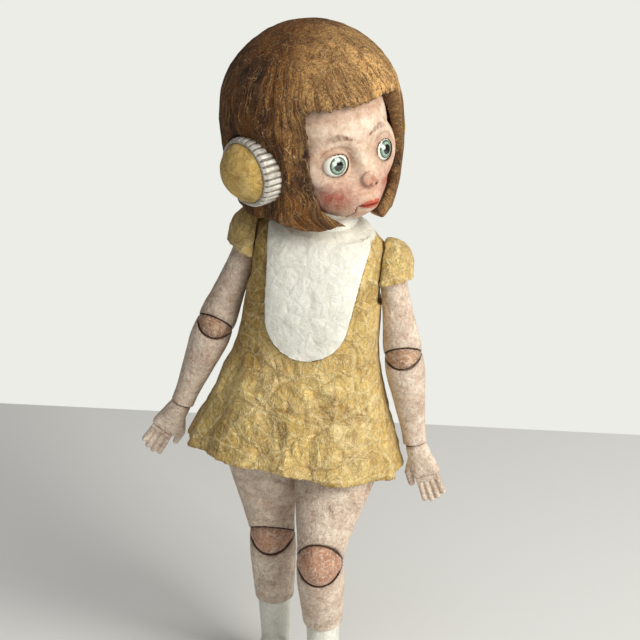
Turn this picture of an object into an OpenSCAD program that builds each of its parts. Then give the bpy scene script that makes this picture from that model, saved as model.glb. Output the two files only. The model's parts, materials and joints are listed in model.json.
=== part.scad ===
// Ball-jointed paper doll, standing, in a flared paper dress with a bib.
// Millimetres, +Z up. The doll faces -Y and its own left is +X.
// The origin is on the floor, under the middle of the whole outline.

/* [Stance] */
// Sideways lean of the body towards its left, in degrees
torso_lean = 7.5; // [4:0.5:8]
// Backward tilt of the straight right leg, in degrees
leg_tilt = 5.3; // [4:0.1:7]
// How far the left ankle stands in front of its hip
foot_step = 13; // [8:0.5:16]
// Inward slant of each thigh towards its knee, in degrees
thigh_slant = 3.7; // [3:0.1:4.5]
// Outward slant of each arm, in degrees
arm_splay = 15.5; // [14:0.5:22]
// Further outward slant of each hand, in degrees
hand_splay = 11.5; // [0:0.5:20]
// Turn of the head towards its left, in degrees
head_yaw = 42; // [30:1:48]
// Sideways tilt of the head towards its right, in degrees
head_tilt = 14; // [8:0.5:15]
// Forward slant of the collar's seat, in degrees
neck_pitch = 15; // [10:0.5:18]
// Distance of the hips' middle to the left of the origin
stand_side = 2.7; // [1:0.1:4]
// Distance of the hips' middle behind the origin
stand_back = 3.7; // [2:0.1:6]

/* [Dress] */
// Height of the waist above the hips
waist_h = 44; // [38:1:50]
// Width at the waist
waist_w = 72; // [66:1:76]
// Depth at the waist
waist_d = 49; // [44:1:54]
// Width of the chest
chest_w = 67; // [64:1:70]
// Depth of the chest
chest_d = 51; // [46:1:54]
// Height of the shoulder joints above the hips
shoulder_h = 94.5; // [90:0.5:100]
// Distance of the hem below the hips
hem_drop = 12.5; // [8:0.5:16]
// Width across the hem
hem_w = 112; // [104:1:114]
// Depth across the hem
hem_d = 76; // [70:1:84]
// Wall of the skirt
skirt_wall = 1.8; // [1.2:0.1:2.5]
// Folds round the skirt
fold_count = 11; // [6:1:16]
// Depth of the folds at the hem
fold_depth = 2.2; // [0:0.1:3]
// Height of the skirt's ceiling above the hips
ceiling_h = 36; // [32:1:40]

/* [Bib] */
// Width of the bib at the shoulders
bib_top_w = 52; // [44:1:54]
// Width of the bib at its round end
bib_w = 42; // [36:1:46]
// Thickness of the bib
bib_wall = 1.8; // [1.2:0.1:2.4]
// Height of the bib's lower edge above the hips
bib_h = 45; // [40:1:52]

/* [Collar] */
// Height of the collar's seat above the shoulder joints
neck_over = 15.5; // [14:0.5:17]
// Outer radius of the collar
collar_r = 16.5; // [15:0.1:17]
// Height of the collar's band
collar_h = 6; // [5:0.1:6.5]
// Height of the neck ball's centre above the collar's seat
neck_rise = 9.5; // [9:0.1:11]
// Radius of the neck ball
neck_ball_r = 10.5; // [9.5:0.1:11]
// Radius of the collar's spigot in the body
spigot_r = 5.5; // [4:0.1:7]
// Length of the collar's spigot
spigot_len = 11; // [8:0.5:14]

/* [Head] */
// Height of the skull's top above the neck ball's centre
skull_top = 79; // [77:0.5:81]
// Width of the skull
skull_w = 63; // [58:1:65]
// Distance of the face in front of the neck ball's centre
face_front = 33.5; // [31:0.5:34]
// Distance of the skull's back behind the neck ball's centre
skull_back = 41; // [38:0.5:42]
// Radius of the nose tip
nose_r = 4; // [3:0.1:5]
// Height of the eyes above the neck ball's centre
eye_h = 30.4; // [28:0.1:33]
// Half the distance between the eyes
eye_half = 13.5; // [12:0.1:15]
// Radius of an eyeball
eye_r = 8; // [6:0.1:9]
// Half the width of the jaw
jaw_half = 6; // [5.5:0.1:9]
// Height of the mouth's line above the neck ball's centre
mouth_h = 9.9; // [8:0.1:12]
// Radius of the jaw's hinge pin
jaw_pin_r = 1.2; // [0.8:0.1:1.5]

/* [Hair] */
// Radius of the round of hair
hair_r = 43.8; // [42:0.1:46]
// Distance of the hair's middle behind the neck ball's centre
hair_back = 7.7; // [6:0.1:9]
// Thickness of the side and back locks
lock_wall = 8; // [6:0.5:9]
// Height of the fringe's edge above the neck ball's centre
fringe_h = 53; // [48:0.5:58]
// Half the angle that the face opening takes, in degrees
face_angle = 37.5; // [32.5:5:42.5]
// Strands round the head
strand_count = 24; // [12:1:24]
// Depth of the grooves between strands
strand_depth = 0.7; // [0:0.1:1]

/* [Ear pods] */
// Outer radius of an ear ring
ear_r = 16; // [14:0.1:17]
// Depth of an ear ring
ear_depth = 10; // [9:0.5:12]
// Distance of an ear ring's back from the head's middle
ear_in = 33.5; // [33:0.1:35]
// Height of the ear pods above the neck ball's centre
ear_h = 27.5; // [25:0.5:30]
// Wall of an ear ring
ear_wall = 2.2; // [1.5:0.1:3]
// Flutes round an ear ring
flute_count = 32; // [16:1:40]
// Radius of a flute
flute_r = 0.8; // [0.4:0.1:1]
// Height of an ear pad's dome
pad_dome = 8.5; // [5:0.5:10]

/* [Arms] */
// Half the distance between the shoulder joints
shoulder_half = 35; // [34:0.5:37]
// Distance of a sleeve's flat seam from the body's middle
seam_x = 31.2; // [30.5:0.1:32]
// Length from shoulder to elbow
upper_arm_len = 47.3; // [44:0.5:50]
// Length from elbow to wrist
forearm_len = 47.5; // [44:0.5:50]
// Half the width of the elbow ball
elbow_half = 8.4; // [7:0.1:9]
// Wall of a limb's rim beside its ball
rim_wall = 1.1; // [0.8:0.1:1.5]
// Depth of a ball's front behind the rims
rim_step = 1.2; // [0.8:0.1:2]
// Slant of the elbow's rims, in degrees
elbow_wedge = 32; // [32:1:38]
// Radius of the upper arm under the sleeve
arm_top_r = 6.6; // [5.5:0.1:7.5]
// Radius of the wrist
wrist_r = 6.1; // [5.2:0.1:6.8]
// Radius of the shoulder's peg
peg_r = 4; // [3:0.1:5]
// Length of the shoulder's peg in the body
peg_len = 8; // [6:0.5:10]
// Radius of the wrist's peg
wrist_peg_r = 3; // [2.4:0.1:3.5]
// Length of the wrist's peg
wrist_peg_len = 6; // [4:0.5:8]
// Height of the sleeve's crown above the shoulder joint
sleeve_crown = 11.5; // [10:0.5:13]
// Radius of the sleeve's lower edge
sleeve_r = 11.8; // [11:0.1:12.5]
// Distance of the sleeve's lower edge below the shoulder joint
sleeve_drop = 8.5; // [7:0.5:10]

/* [Hands] */
// Length of the palm from the wrist to the knuckles
palm_len = 20; // [17:0.5:23]
// Half the width of the palm at the knuckles
palm_half = 4.4; // [3.5:0.1:5]
// Radius of the knuckle barrel
knuckle_r = 2.3; // [2:0.1:2.6]
// Radius of a finger
finger_r = 1.55; // [1.2:0.05:1.6]
// Length of the longest finger
finger_len = 12; // [9:0.5:14]

/* [Legs] */
// Half the distance between the hips
hip_half = 19; // [18.5:0.1:20]
// Length from hip to knee
thigh_len = 64.5; // [60:0.5:70]
// Length from knee to ankle
shin_len = 41; // [38:0.5:46]
// Radius of the hip ball
hip_r = 13; // [11.5:0.1:13.5]
// Largest radius of the thigh
thigh_r = 17.2; // [15:0.1:17.4]
// Half the width of the knee ball
knee_half = 11; // [10:0.1:11.5]
// Slant of the knee's rims, in degrees
knee_wedge = 36; // [35:1:42]
// Radius of the calf
calf_r = 12.4; // [11:0.1:12.6]
// Radius of the shin's lower end
shin_end_r = 10.4; // [9.8:0.1:11]

/* [Boots] */
// Height of the ankle joint above the sole
ankle_h = 41; // [38:0.5:46]
// Radius of the ankle ball
ankle_r = 8.8; // [8:0.1:9.2]
// Least radius of the boot's shaft
shaft_r = 7.6; // [6.5:0.1:8.4]
// Length of the foot
foot_len = 46; // [40:1:52]
// Width of the foot
foot_w = 21; // [18:0.5:24]
// Height of the toe
toe_h = 13; // [10:0.5:15]
// Thickness of the sole's straight edge
sole_h = 3; // [2:0.5:4]

/* [Fits and cords] */
// Clearance between a ball and its socket, and at flat seams
fit = 0.3; // [0.2:0.05:0.4]
// Gap between glued pieces
glue_gap = 0.15; // [0.1:0.05:0.2]
// Radius of the elastic cord
cord_r = 1; // [0.6:0.1:1.2]
// Radius of a bore for the cord
bore_r = 1.5; // [1.3:0.1:1.8]
// Half the width of a slot that lets the cord swing
slot_half = 2.4; // [2:0.1:3]

/* [Hidden] */
$fn = 64;
left = 1;
right = -1;
far = 200;
cord_end = 2;
skin = "#c9a28a";
knee_skin = "#b8735c";
dress_paper = "#b78a3c";
white_paper = "#dedfd9";
hair_brown = "#6b4526";
ear_grey = "#9ba0a0";
pad_ochre = "#b9924a";
elastic_white = "#efece2";
// Height of the collar's seat above the hips
neck_h = shoulder_h + neck_over;

// Legs: the right one stands straight, the left one is solved so that its sole is flat on the floor too
thigh_reach = thigh_len * cos(thigh_slant);
right_hip_z = ankle_h + (thigh_reach + shin_len) * cos(leg_tilt);
hip_height = right_hip_z - hip_half * sin(torso_lean);
left_hip_z = hip_height - hip_half * sin(torso_lean);
left_drop = left_hip_z - ankle_h;
left_reach = norm([left_drop, foot_step]);
// Angle between two sides of a triangle, across from its third side
function corner(a, b, across) = acos((a ^ 2 + b ^ 2 - across ^ 2) / (2 * a * b));
left_hip_angle = corner(thigh_reach, left_reach, shin_len);
left_knee_bend = 180 - corner(thigh_reach, shin_len, left_reach);
left_swing = atan2(foot_step, left_drop) + left_hip_angle;

// Forward swing of a thigh and bend of a knee at rest
function thigh_swing(side) = side == left ? left_swing : -leg_tilt;
function knee_bend(side) = side == left ? left_knee_bend : 0;
function hip_point(side) =
    [stand_side + side * hip_half * cos(torso_lean), stand_back, side == left ? left_hip_z : right_hip_z];

// Value at x of a smooth curve through [x, value] keys
function lerp(a, b, t) = a + (b - a) * t;
function key_slope(k, i) =
    let (a = max(i - 1, 0), b = min(i + 1, len(k) - 1))
    (k[b][1] - k[a][1]) / (k[b][0] - k[a][0]);
function key_span(k, x, i = 0) = x <= k[i + 1][0] ? i : key_span(k, x, i + 1);
function key_blend(k, i, x) =
    let (h = k[i + 1][0] - k[i][0], t = (x - k[i][0]) / h, u = t * t, w = u * t)
    (2 * w - 3 * u + 1) * k[i][1] + (w - 2 * u + t) * h * key_slope(k, i)
    + (3 * u - 2 * w) * k[i + 1][1] + (w - u) * h * key_slope(k, i + 1);
function curve(k, x) =
    x <= k[0][0] ? k[0][1] : x >= k[len(k) - 1][0] ? k[len(k) - 1][1] : key_blend(k, key_span(k, x), x);

// Two triangles for each cell between neighbouring rings of n points
function ring_faces(n, rings) = [
    for (i = [0:rings - 2], j = [0:n - 1]) let (k = (j + 1) % n)
    each [[i * n + j, i * n + k, (i + 1) * n + j], [i * n + k, (i + 1) * n + k, (i + 1) * n + j]]
];

// Closed solid through rings of points that run downwards, with flat ends
module loft(rings) {
    n = len(rings[0]);
    m = len(rings);
    ends = [[for (j = [n - 1:-1:0]) j], [for (j = [0:n - 1]) (m - 1) * n + j]];
    polyhedron([for (r = rings) each r], concat(ring_faces(n, m), ends), convexity = 8);
}

// Turned solid through [distance, radius] keys, running down from the origin
module turned(keys, from, to, steps = 20) {
    side_points = [for (i = [0:steps]) let (t = lerp(from, to, i / steps)) [curve(keys, t), -t]];
    rotate_extrude() polygon(concat([[0, -from]], side_points, [[0, -to]]));
}

// Half of space below a height
module below(z) {
    translate([-far, -far, z - 2 * far]) cube(2 * far);
}

// Round pin along X, centred
module cross_pin(r, half) {
    rotate([0, 90, 0]) cylinder(r = r, h = 2 * half, center = true);
}

// Ball flattened at its sides, turned about X
module barrel(r, half) {
    rotate([0, 90, 0]) rotate_extrude()
        polygon([for (a = [-90:10:90]) [r * cos(a), half * sin(a)]]);
}

// Room for a ball, opened to the front and back by a wedge under it
module socket_cut(ball_r, half, wedge) {
    barrel(ball_r + fit, half + fit);
    reach = 3 * ball_r;
    rise = fit + reach * tan(wedge);
    rotate([90, 0, 90])
        linear_extrude(2 * reach, center = true)
            polygon([[0, fit], [reach, rise], [reach, -reach], [-reach, -reach], [-reach, rise]]);
}

// Slot in a ball for a cord that swings from straight up through the given angles, towards -Y
module cord_slot(length, from, to, half) {
    a = [sin(-from), cos(from)];
    b = [sin(-to), cos(to)];
    middle = (from + to) / 2;
    tip = [sin(-middle), cos(middle)] * length / cos((to - from) / 2);
    aside = [a[1], -a[0]] * half;
    bside = [-b[1], b[0]] * half;
    rotate([90, 0, 90])
        linear_extrude(2 * half, center = true)
            polygon([aside - a * half, aside + a * length, tip, bside + b * length, bside - b * half]);
}

// Ball with slots on its upper and lower sides for a joint that bends by up to the given angle on each
module slotted_ball(r, half, bend) {
    difference() {
        barrel(r, half);
        cord_slot(2 * r, 0, bend, slot_half);
        mirror([0, 0, 1]) cord_slot(2 * r, 0, bend, slot_half);
    }
}

// Places that pieces are set in
module body_frame() {
    translate([stand_side, stand_back, hip_height]) rotate([0, torso_lean, 0]) children();
}
module side_frame(side) {
    mirror([side == right ? 1 : 0, 0, 0]) children();
}
module neck_frame() {
    body_frame() translate([0, neck_y, neck_h]) rotate([neck_pitch, 0, 0]) children();
}
module head_frame() {
    neck_frame() translate([0, 0, neck_rise])
        rotate([-neck_pitch, 0, 0]) rotate([0, -head_tilt, head_yaw]) children();
}
module arm_frame(side, along = 0) {
    body_frame() side_frame(side) translate([shoulder_half, 0, shoulder_h])
        rotate([0, -arm_splay, 0]) translate([0, 0, -along]) children();
}
module thigh_frame(side, along = 0) {
    translate(hip_point(side)) side_frame(side)
        rotate([-thigh_swing(side), 0, 0]) rotate([0, thigh_slant, 0]) translate([0, 0, -along]) children();
}
function knee_point(side) =
    hip_point(side) + [-side * thigh_len * sin(thigh_slant),
        -thigh_reach * sin(thigh_swing(side)), -thigh_reach * cos(thigh_swing(side))];
function shin_tilt(side) = knee_bend(side) - thigh_swing(side);
module knee_frame(side) {
    translate(knee_point(side)) rotate([shin_tilt(side) - knee_bend(side) / 2, 0, 0]) children();
}
module shin_frame(side) {
    translate(knee_point(side)) rotate([shin_tilt(side), 0, 0]) children();
}
function ankle_point(side) =
    knee_point(side) + [0, shin_len * sin(shin_tilt(side)), -shin_len * cos(shin_tilt(side))];

// Dress: half width and half depth at a height over the hips
neck_y = 2;
collar_seat_r = collar_r + 2;
crown_h = neck_h + 6.5;
skirt_mid = (waist_h - hem_drop) / 2;
shoulder_edge = 10.5;
dress_half = [
    [-hem_drop, hem_w / 2], [skirt_mid, lerp(hem_w, waist_w, 0.54) / 2], [waist_h, waist_w / 2],
    [lerp(waist_h, shoulder_h, 0.5), chest_w / 2], [shoulder_h, chest_w / 2 - 0.6],
    [shoulder_h + shoulder_edge, seam_x], [neck_h - 1.5, lerp(seam_x, collar_seat_r, 0.55)],
    [crown_h, collar_seat_r - 1]
];
dress_depth = [
    [-hem_drop, hem_d / 2], [skirt_mid, lerp(hem_d, waist_d, 0.54) / 2], [waist_h, waist_d / 2],
    [lerp(waist_h, shoulder_h, 0.55), chest_d / 2], [shoulder_h, chest_d / 2 - 3.5],
    [shoulder_h + shoulder_edge, collar_seat_r + 0.5], [crown_h, collar_seat_r - 1]
];
dress_sides = 56;
bodice_rows = 10;
skirt_rows = 6;
lining_rows = 4;

// Squareness of the bodice's sections: rounder at the hem and the neck
dress_square = [
    [-hem_drop, 1], [waist_h, 0.86], [shoulder_h, 0.84], [shoulder_h + shoulder_edge, 1.04], [crown_h, 1]
];
function dress_power(z) = curve(dress_square, z);
function signed_power(v, p) = sign(v) * abs(v) ^ p;
function fold(angle, share) =
    fold_depth * share * (0.6 * sin(fold_count * angle) + 0.4 * sin((fold_count + 5) * angle + 70));
function hem_wave(angle) = 1.1 * sin(3 * angle + 40) + 0.8 * sin(7 * angle);
function dress_point(angle, z, share, inset) =
    let (p = dress_power(z), grow = fold(angle, share) - inset)
    [(curve(dress_half, z) + grow) * signed_power(cos(angle), p),
     (curve(dress_depth, z) + grow) * signed_power(sin(angle), p), z];
// Ring at a height, or at a share of the way from there down to the hem's own uneven line
function dress_ring(top, share, inset) = [
    for (j = [0:dress_sides - 1]) let (angle = 360 * j / dress_sides)
    dress_point(angle, lerp(top, -hem_drop + hem_wave(angle), share), share, inset)
];

module dress() {
    bodice = [
        for (i = [0:bodice_rows - 1])
        dress_ring(lerp(crown_h, waist_h, (i / bodice_rows) ^ 1.3), 0, 0)
    ];
    skirt = [for (i = [0:skirt_rows]) dress_ring(waist_h, i / skirt_rows, 0)];
    lining = [for (i = [lining_rows:-1:0]) dress_ring(ceiling_h, i / lining_rows, skirt_wall)];
    color(dress_paper) body_frame() difference() {
        loft(concat(bodice, skirt, lining));
        translate([0, neck_y, neck_h]) rotate([neck_pitch, 0, 0]) {
            translate([-far, -far, 0]) cube(2 * far);
            translate([0, 0, -spigot_len - fit]) cylinder(r = spigot_r + fit, h = far);
            translate([0, 0, -neck_cord_len - fit]) cylinder(r = bore_r, h = far);
        }
        for (side = [left, right]) side_frame(side) translate([0, 0, shoulder_h]) rotate([0, 90, 0]) {
            translate([0, 0, seam_x]) cylinder(r = seam_r, h = far);
            translate([0, 0, seam_x - peg_len]) cylinder(r = peg_r + fit, h = far);
            cylinder(r = bore_r, h = far);
        }
    }
}

// Bib: a thick sheet that follows the bodice's front
bib_top_h = neck_h - 1;
bib_round_h = bib_h + bib_w / 2;
bib_cols = 18;
bib_rows = 14;
bib_upper = 8;
function bib_half(z) =
    z < bib_round_h ? sqrt(max(0.3, (bib_w / 2) ^ 2 - (bib_round_h - z) ^ 2))
    : min(
        lerp(bib_w, bib_top_w, (z - bib_round_h) / (bib_top_h - bib_round_h)) / 2,
        0.95 * curve(dress_half, z)
    );
function bodice_front(x, z) =
    let (p = dress_power(z), share = min(0.985, abs(x) / curve(dress_half, z)) ^ (1 / p))
    -curve(dress_depth, z) * (1 - share ^ 2) ^ (p / 2);
function bib_row_h(i) =
    i <= bib_upper ? lerp(bib_top_h, bib_round_h, (i / bib_upper) ^ 1.6)
    : bib_round_h - bib_w / 2 * sin(90 * (i - bib_upper) / (bib_rows - bib_upper)) * 0.998;
function bib_point(half, j, z, over) =
    let (x = half * sin(lerp(-90, 90, j / bib_cols)))
    [x, bodice_front(x, z) - bib_gap - over, z];
function bib_ring(z, half) = concat(
    [for (j = [0:bib_cols]) bib_point(half, j, z, bib_wall)],
    [for (j = [bib_cols:-1:0]) bib_point(half, j, z, 0)]
);
bib_gap = 2 * glue_gap;
bib_notch = 4;
module bib() {
    color(white_paper) body_frame() difference() {
        loft([for (i = [0:bib_rows]) let (z = bib_row_h(i)) bib_ring(z, bib_half(z))]);
        translate([0, neck_y, neck_h]) rotate([neck_pitch, 0, 0]) {
            translate([-far, -far, 0]) cube(2 * far);
            translate([0, 0, -bib_notch]) cylinder(r = collar_r + 2 * fit, h = far);
        }
    }
}

// Pelvis: a block under the dress's ceiling with the two hip sockets in its lower face
pelvis_half = hip_half + 11;
pelvis_depth = 26;
pelvis_low = 7.5;
module pelvis() {
    color(dress_paper) body_frame() difference() {
        translate([-pelvis_half, -pelvis_depth / 2, pelvis_low])
            cube([2 * pelvis_half, pelvis_depth, ceiling_h - pelvis_low - glue_gap]);
        for (side = [left, right]) translate([side * hip_half, 0, 0]) {
            sphere(hip_r + fit);
            cylinder(r = bore_r, h = hip_cord_top + fit);
        }
    }
}

// Collar: the neck's ring, its spigot in the body and the ball that the head turns on
module collar() {
    color(white_paper) neck_frame() difference() {
        union() {
            rotate_extrude() polygon([
                [0, -spigot_len], [spigot_r, -spigot_len], [spigot_r, fit], [collar_r - 0.4, fit],
                [collar_r, fit + 0.6], [collar_r - 0.3, collar_h - 2.2], [collar_r - 1.4, collar_h - 0.6],
                [collar_r - 3.2, collar_h], [0, collar_h]
            ]);
            translate([0, 0, neck_rise]) sphere(neck_ball_r);
        }
        translate([0, 0, -far]) cylinder(r = bore_r, h = far + neck_rise);
        translate([0, 0, neck_rise]) cylinder(r1 = bore_r, r2 = bore_r + neck_ball_r, h = neck_ball_r);
    }
}

// Skull and face: half width, front and back at a height over the neck ball's centre
chin_h = 1.6;
skull_half = [
    [chin_h, 11], [4, 16.5], [10, 23.5], [18, skull_w / 2 - 4], [28, skull_w / 2 - 1.8], [42, skull_w / 2],
    [54, skull_w / 2 - 1], [64, skull_w / 2 - 5], [skull_top - 5, skull_w / 2 - 12], [skull_top, 9]
];
skull_front = [
    [chin_h, face_front - 5.5], [4, face_front - 2], [10, face_front], [20, face_front + 0.5],
    [32, face_front - 0.5], [46, face_front], [56, face_front - 2.5], [66, face_front - 8.5],
    [skull_top - 5, face_front - 16], [skull_top, 7]
];
skull_rear = [
    [chin_h, 13], [4, 18], [10, 26], [18, skull_back - 9], [28, skull_back - 4], [42, skull_back],
    [54, skull_back], [64, skull_back - 4], [skull_top - 5, skull_back - 13], [skull_top, 16]
];
function oval(half, front, rear, z, sides) = [
    for (j = [0:sides - 1]) let (angle = 360 * j / sides)
    [half * sin(angle), (rear - front) / 2 - (rear + front) / 2 * cos(angle), z]
];
skull_rows = 15;
skull_sides = 44;
module skull() {
    loft([
        for (i = [0:skull_rows]) let (z = lerp(skull_top, chin_h, i / skull_rows))
        oval(curve(skull_half, z), curve(skull_front, z), curve(skull_rear, z), z, skull_sides)
    ]);
    translate([0, -face_front - 2.6, nose_h]) sphere(nose_r);
}
nose_h = 22;
jaw_axis = [0, -16.5, 5.4];
// Outline of the jaw's block from the side, in front of and round its hinge
function jaw_outline(margin) =
    let (r = mouth_h - jaw_axis[2] + margin, y = jaw_axis[1], z = jaw_axis[2])
    concat(
        [[-far, -far], [y + r * cos(60), -far]],
        [for (a = [-60:15:90]) [y + r * cos(a), z + r * sin(a)]],
        [[-far, z + r]]
    );
module jaw_block(margin) {
    rotate([90, 0, 90]) linear_extrude(2 * (jaw_half + margin), center = true) polygon(jaw_outline(margin));
}
jaw_pin_over = 5;
jaw_pin_half = jaw_half + jaw_pin_over;
module head() {
    color(skin) head_frame() difference() {
        skull();
        sphere(neck_ball_r + fit);
        jaw_block(fit);
        translate(jaw_axis) cross_pin(jaw_pin_r + fit, jaw_pin_half + fit);
        for (side = [left, right]) eye_place(side) eye_dome(fit);
        cylinder(r = bore_r, h = toggle_h);
        translate([0, 0, toggle_h]) cross_pin(toggle_r + fit, toggle_half + fit);
    }
}
module jaw() {
    color(skin) head_frame() difference() {
        union() {
            intersection() {
                skull();
                jaw_block(0);
            }
            translate(jaw_axis) cross_pin(jaw_pin_r, jaw_pin_half);
        }
        sphere(neck_ball_r + 3 * fit);
    }
}

// Eyes: domes with a flat back, set in the face
eye_set = 1.9;
eye_back = eye_r * 0.3;
module eye_place(side) {
    translate([side * eye_half, -face_front + eye_r + eye_set, eye_h]) children();
}
module eye_dome(spare) {
    difference() {
        rotate([90, 0, 0]) sphere(eye_r + spare);
        translate([-far, eye_back + spare, -far]) cube([2 * far, far, 2 * far]);
    }
}
module eye(side) {
    color("ivory") head_frame() eye_place(side) eye_dome(0);
}

// Hair: one round shell with grooves between its strands, cut open over the face
lock_top = 8.6;
hair_mid_h = skull_top + lock_top - hair_r;
lock_h = 1.5;
hair_sides = 72;
hair_rows = 13;
hair_lining_rows = 11;
hair_gap = 1.7;
fringe_wall = 3;
crown_gap = 3;
function hair_share(z) =
    z > hair_mid_h ? sqrt(max(0, 1 - ((z - hair_mid_h) / hair_r) ^ 2))
    : 1 - 0.14 * ((hair_mid_h - z) / hair_mid_h) ^ 2;
function hair_low(angle) = lock_h + 1.2 + 1.2 * sin(9 * angle);
function groove(angle) = strand_depth * (abs(sin(strand_count * angle / 2)) - 0.5);
// Heights run down together to just over the fringe, and from there to each column's own lower edge
hair_split = 0.62;
function down(top, low, t) =
    let (level = fringe_h + 4)
    t < hair_split ? top - (top - level) * (1 - cos(90 * t / hair_split))
    : lerp(level, low, (t - hair_split) / (1 - hair_split));
// Point of the hair at a turn from the front, a distance from its own middle line and a height
function hair_point(angle, t, r, z) = [r * sin(angle), hair_middle(t) - r * cos(angle), z];
function hair_middle(t) = hair_back * lerp(1, 0.9, t);
function hair_outer(angle, t) =
    let (z = down(hair_mid_h + hair_r, hair_low(angle), t))
    hair_point(angle, t, hair_r * hair_share(z) + groove(angle) * sin(90 * t), z);
// Distance from the hair's middle line to the skull
function skull_reach(angle, t, z) =
    let (front = curve(skull_front, z), rear = curve(skull_rear, z), long = (rear + front) / 2)
    let (off = hair_middle(t) - (rear - front) / 2)
    let (p = (sin(angle) / curve(skull_half, z)) ^ 2 + (cos(angle) / long) ^ 2)
    let (q = off * cos(angle) / long ^ 2)
    (q + sqrt(q ^ 2 + p * (1 - (off / long) ^ 2))) / p;
function hair_inner(angle, t) =
    let (z = down(skull_top + crown_gap, hair_low(angle), t), r = hair_r * hair_share(z))
    let (free = max(skull_reach(angle, t, z) + hair_gap, r - lock_wall))
    hair_point(angle, t, min(free, r - fringe_wall / 2), z);
function hair_turn(j) = 360 * j / hair_sides;
// Opening over the face, from the front: upright sides that close in to the lock tips, and a jagged fringe
window_half = hair_r * sin(face_angle);
window_corner = 5;
tip_half = 15;
fringe_steps = 10;
function window_edge(side) = [
    [side * tip_half, -far], [side * tip_half, lock_h],
    [side * lerp(tip_half, window_half, 0.65), lock_h + 9],
    [side * (window_half - 0.8), lock_h + 20], [side * window_half, lock_h + 28],
    for (a = [0:22.5:90])
        [
            side * (window_half - window_corner * (1 - cos(a))),
            fringe_h - window_corner * (1 - sin(a))
        ]
];
function fringe_edge() = [
    for (i = [1:fringe_steps - 1])
        [
            lerp(-1, 1, i / fringe_steps) * (window_half - window_corner),
            fringe_h + (i % 2 == 0 ? -0.6 : 0.6)
        ]
];
function reversed(list) = [for (i = [len(list) - 1:-1:0]) list[i]];
module face_window() {
    rotate([90, 0, 0]) linear_extrude(far)
        polygon(concat(window_edge(-1), fringe_edge(), reversed(window_edge(1))));
}
module hair() {
    outer = [
        for (i = [1:hair_rows])
        [for (j = [0:hair_sides - 1]) hair_outer(hair_turn(j), i / hair_rows)]
    ];
    inner = [
        for (i = [hair_lining_rows:-1:1])
        [for (j = [0:hair_sides - 1]) hair_inner(hair_turn(j), i / hair_lining_rows)]
    ];
    rings = concat(outer, inner);
    n = hair_sides;
    last = (len(rings) - 1) * n;
    top = len(rings) * n;
    crown = [for (j = [0:n - 1]) [top, (j + 1) % n, j]];
    lining = [for (j = [0:n - 1]) [top + 1, last + j, last + (j + 1) % n]];
    crown_tip = [0, hair_back, hair_mid_h + hair_r];
    lining_tip = [0, hair_back, skull_top + crown_gap];
    points = concat([for (r = rings) each r], [crown_tip, lining_tip]);
    color(hair_brown) head_frame() difference() {
        polyhedron(points, concat(crown, ring_faces(n, len(rings)), lining), convexity = 8);
        face_window();
        for (side = [left, right]) ear_frame(side) translate([0, 0, -fit])
            cylinder(r = ear_r + fit, h = far);
    }
}

// Ear pods: a fluted ring with a floor, and a domed pad in it
ear_y = 3.5;
ear_floor = 3;
pad_r = ear_r - ear_wall - 0.8;
pad_rim = ear_depth - ear_floor - glue_gap - 1;
pad_sphere_r = (pad_r ^ 2 + pad_dome ^ 2) / (2 * pad_dome);
module ear_frame(side) {
    side_frame(side) translate([ear_in, ear_y, ear_h]) rotate([0, 90, 0]) children();
}
module ear_ring(side) {
    color(ear_grey) head_frame() ear_frame(side) difference() {
        rotate_extrude() polygon([
            [0, 0], [ear_r, 0], [ear_r, ear_depth - 1.6], [ear_r - 1, ear_depth],
            [ear_r - ear_wall, ear_depth], [ear_r - ear_wall, ear_floor], [0, ear_floor]
        ]);
        for (i = [0:flute_count - 1]) rotate([0, 0, 360 * i / flute_count])
            translate([ear_r + flute_r * 0.3, 0, -far]) cylinder(r = flute_r, h = far + ear_depth - 3);
    }
}
module ear_pad(side) {
    color(pad_ochre) head_frame() ear_frame(side) translate([0, 0, ear_floor + glue_gap]) {
        cylinder(r = pad_r, h = pad_rim);
        intersection() {
            translate([0, 0, pad_rim + pad_dome - pad_sphere_r]) sphere(pad_sphere_r);
            translate([0, 0, pad_rim]) cylinder(r = pad_r, h = pad_dome + 1);
        }
    }
}

// Arms
elbow_rim_r = elbow_half + rim_wall;
elbow_r = elbow_rim_r / cos(elbow_wedge) - rim_step;
arm_keys = [
    [0, arm_top_r], [upper_arm_len * 0.3, arm_top_r + 0.3],
    [upper_arm_len * 0.65, lerp(arm_top_r, elbow_rim_r, 0.55)], [upper_arm_len * 0.9, elbow_rim_r + 0.15],
    [upper_arm_len, elbow_rim_r], [2 * upper_arm_len, elbow_rim_r]
];
forearm_keys = [
    [-forearm_len, elbow_rim_r], [0, elbow_rim_r], [forearm_len * 0.18, elbow_rim_r + 0.5],
    [forearm_len * 0.5, lerp(elbow_rim_r, wrist_r, 0.38)], [forearm_len * 0.85, wrist_r + 0.1],
    [forearm_len, wrist_r]
];
elbow_bend_max = 30;
seam_r = norm([sleeve_r, sleeve_drop]) + 7;
module upper_arm(side) {
    color(skin) difference() {
        arm_frame(side) difference() {
            union() {
                turned(arm_keys, 0, upper_arm_len + elbow_r);
                sphere(arm_top_r);
            }
            translate([0, 0, -upper_arm_len]) socket_cut(elbow_r, elbow_half, elbow_wedge);
            translate([0, 0, -upper_arm_len]) cylinder(r = bore_r, h = upper_arm_len);
        }
        seam_cut(side);
        arm_bore(side);
    }
    color(skin) difference() {
        body_frame() side_frame(side) translate([seam_x + fit - peg_len, 0, shoulder_h]) rotate([0, 90, 0])
            cylinder(r = peg_r, h = peg_len + fit);
        arm_bore(side);
    }
}
// Space on the body's side of a sleeve's flat seam
module seam_cut(side) {
    body_frame() side_frame(side) translate([seam_x + fit - far, -far, -far]) cube([far, 2 * far, 2 * far]);
}
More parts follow.
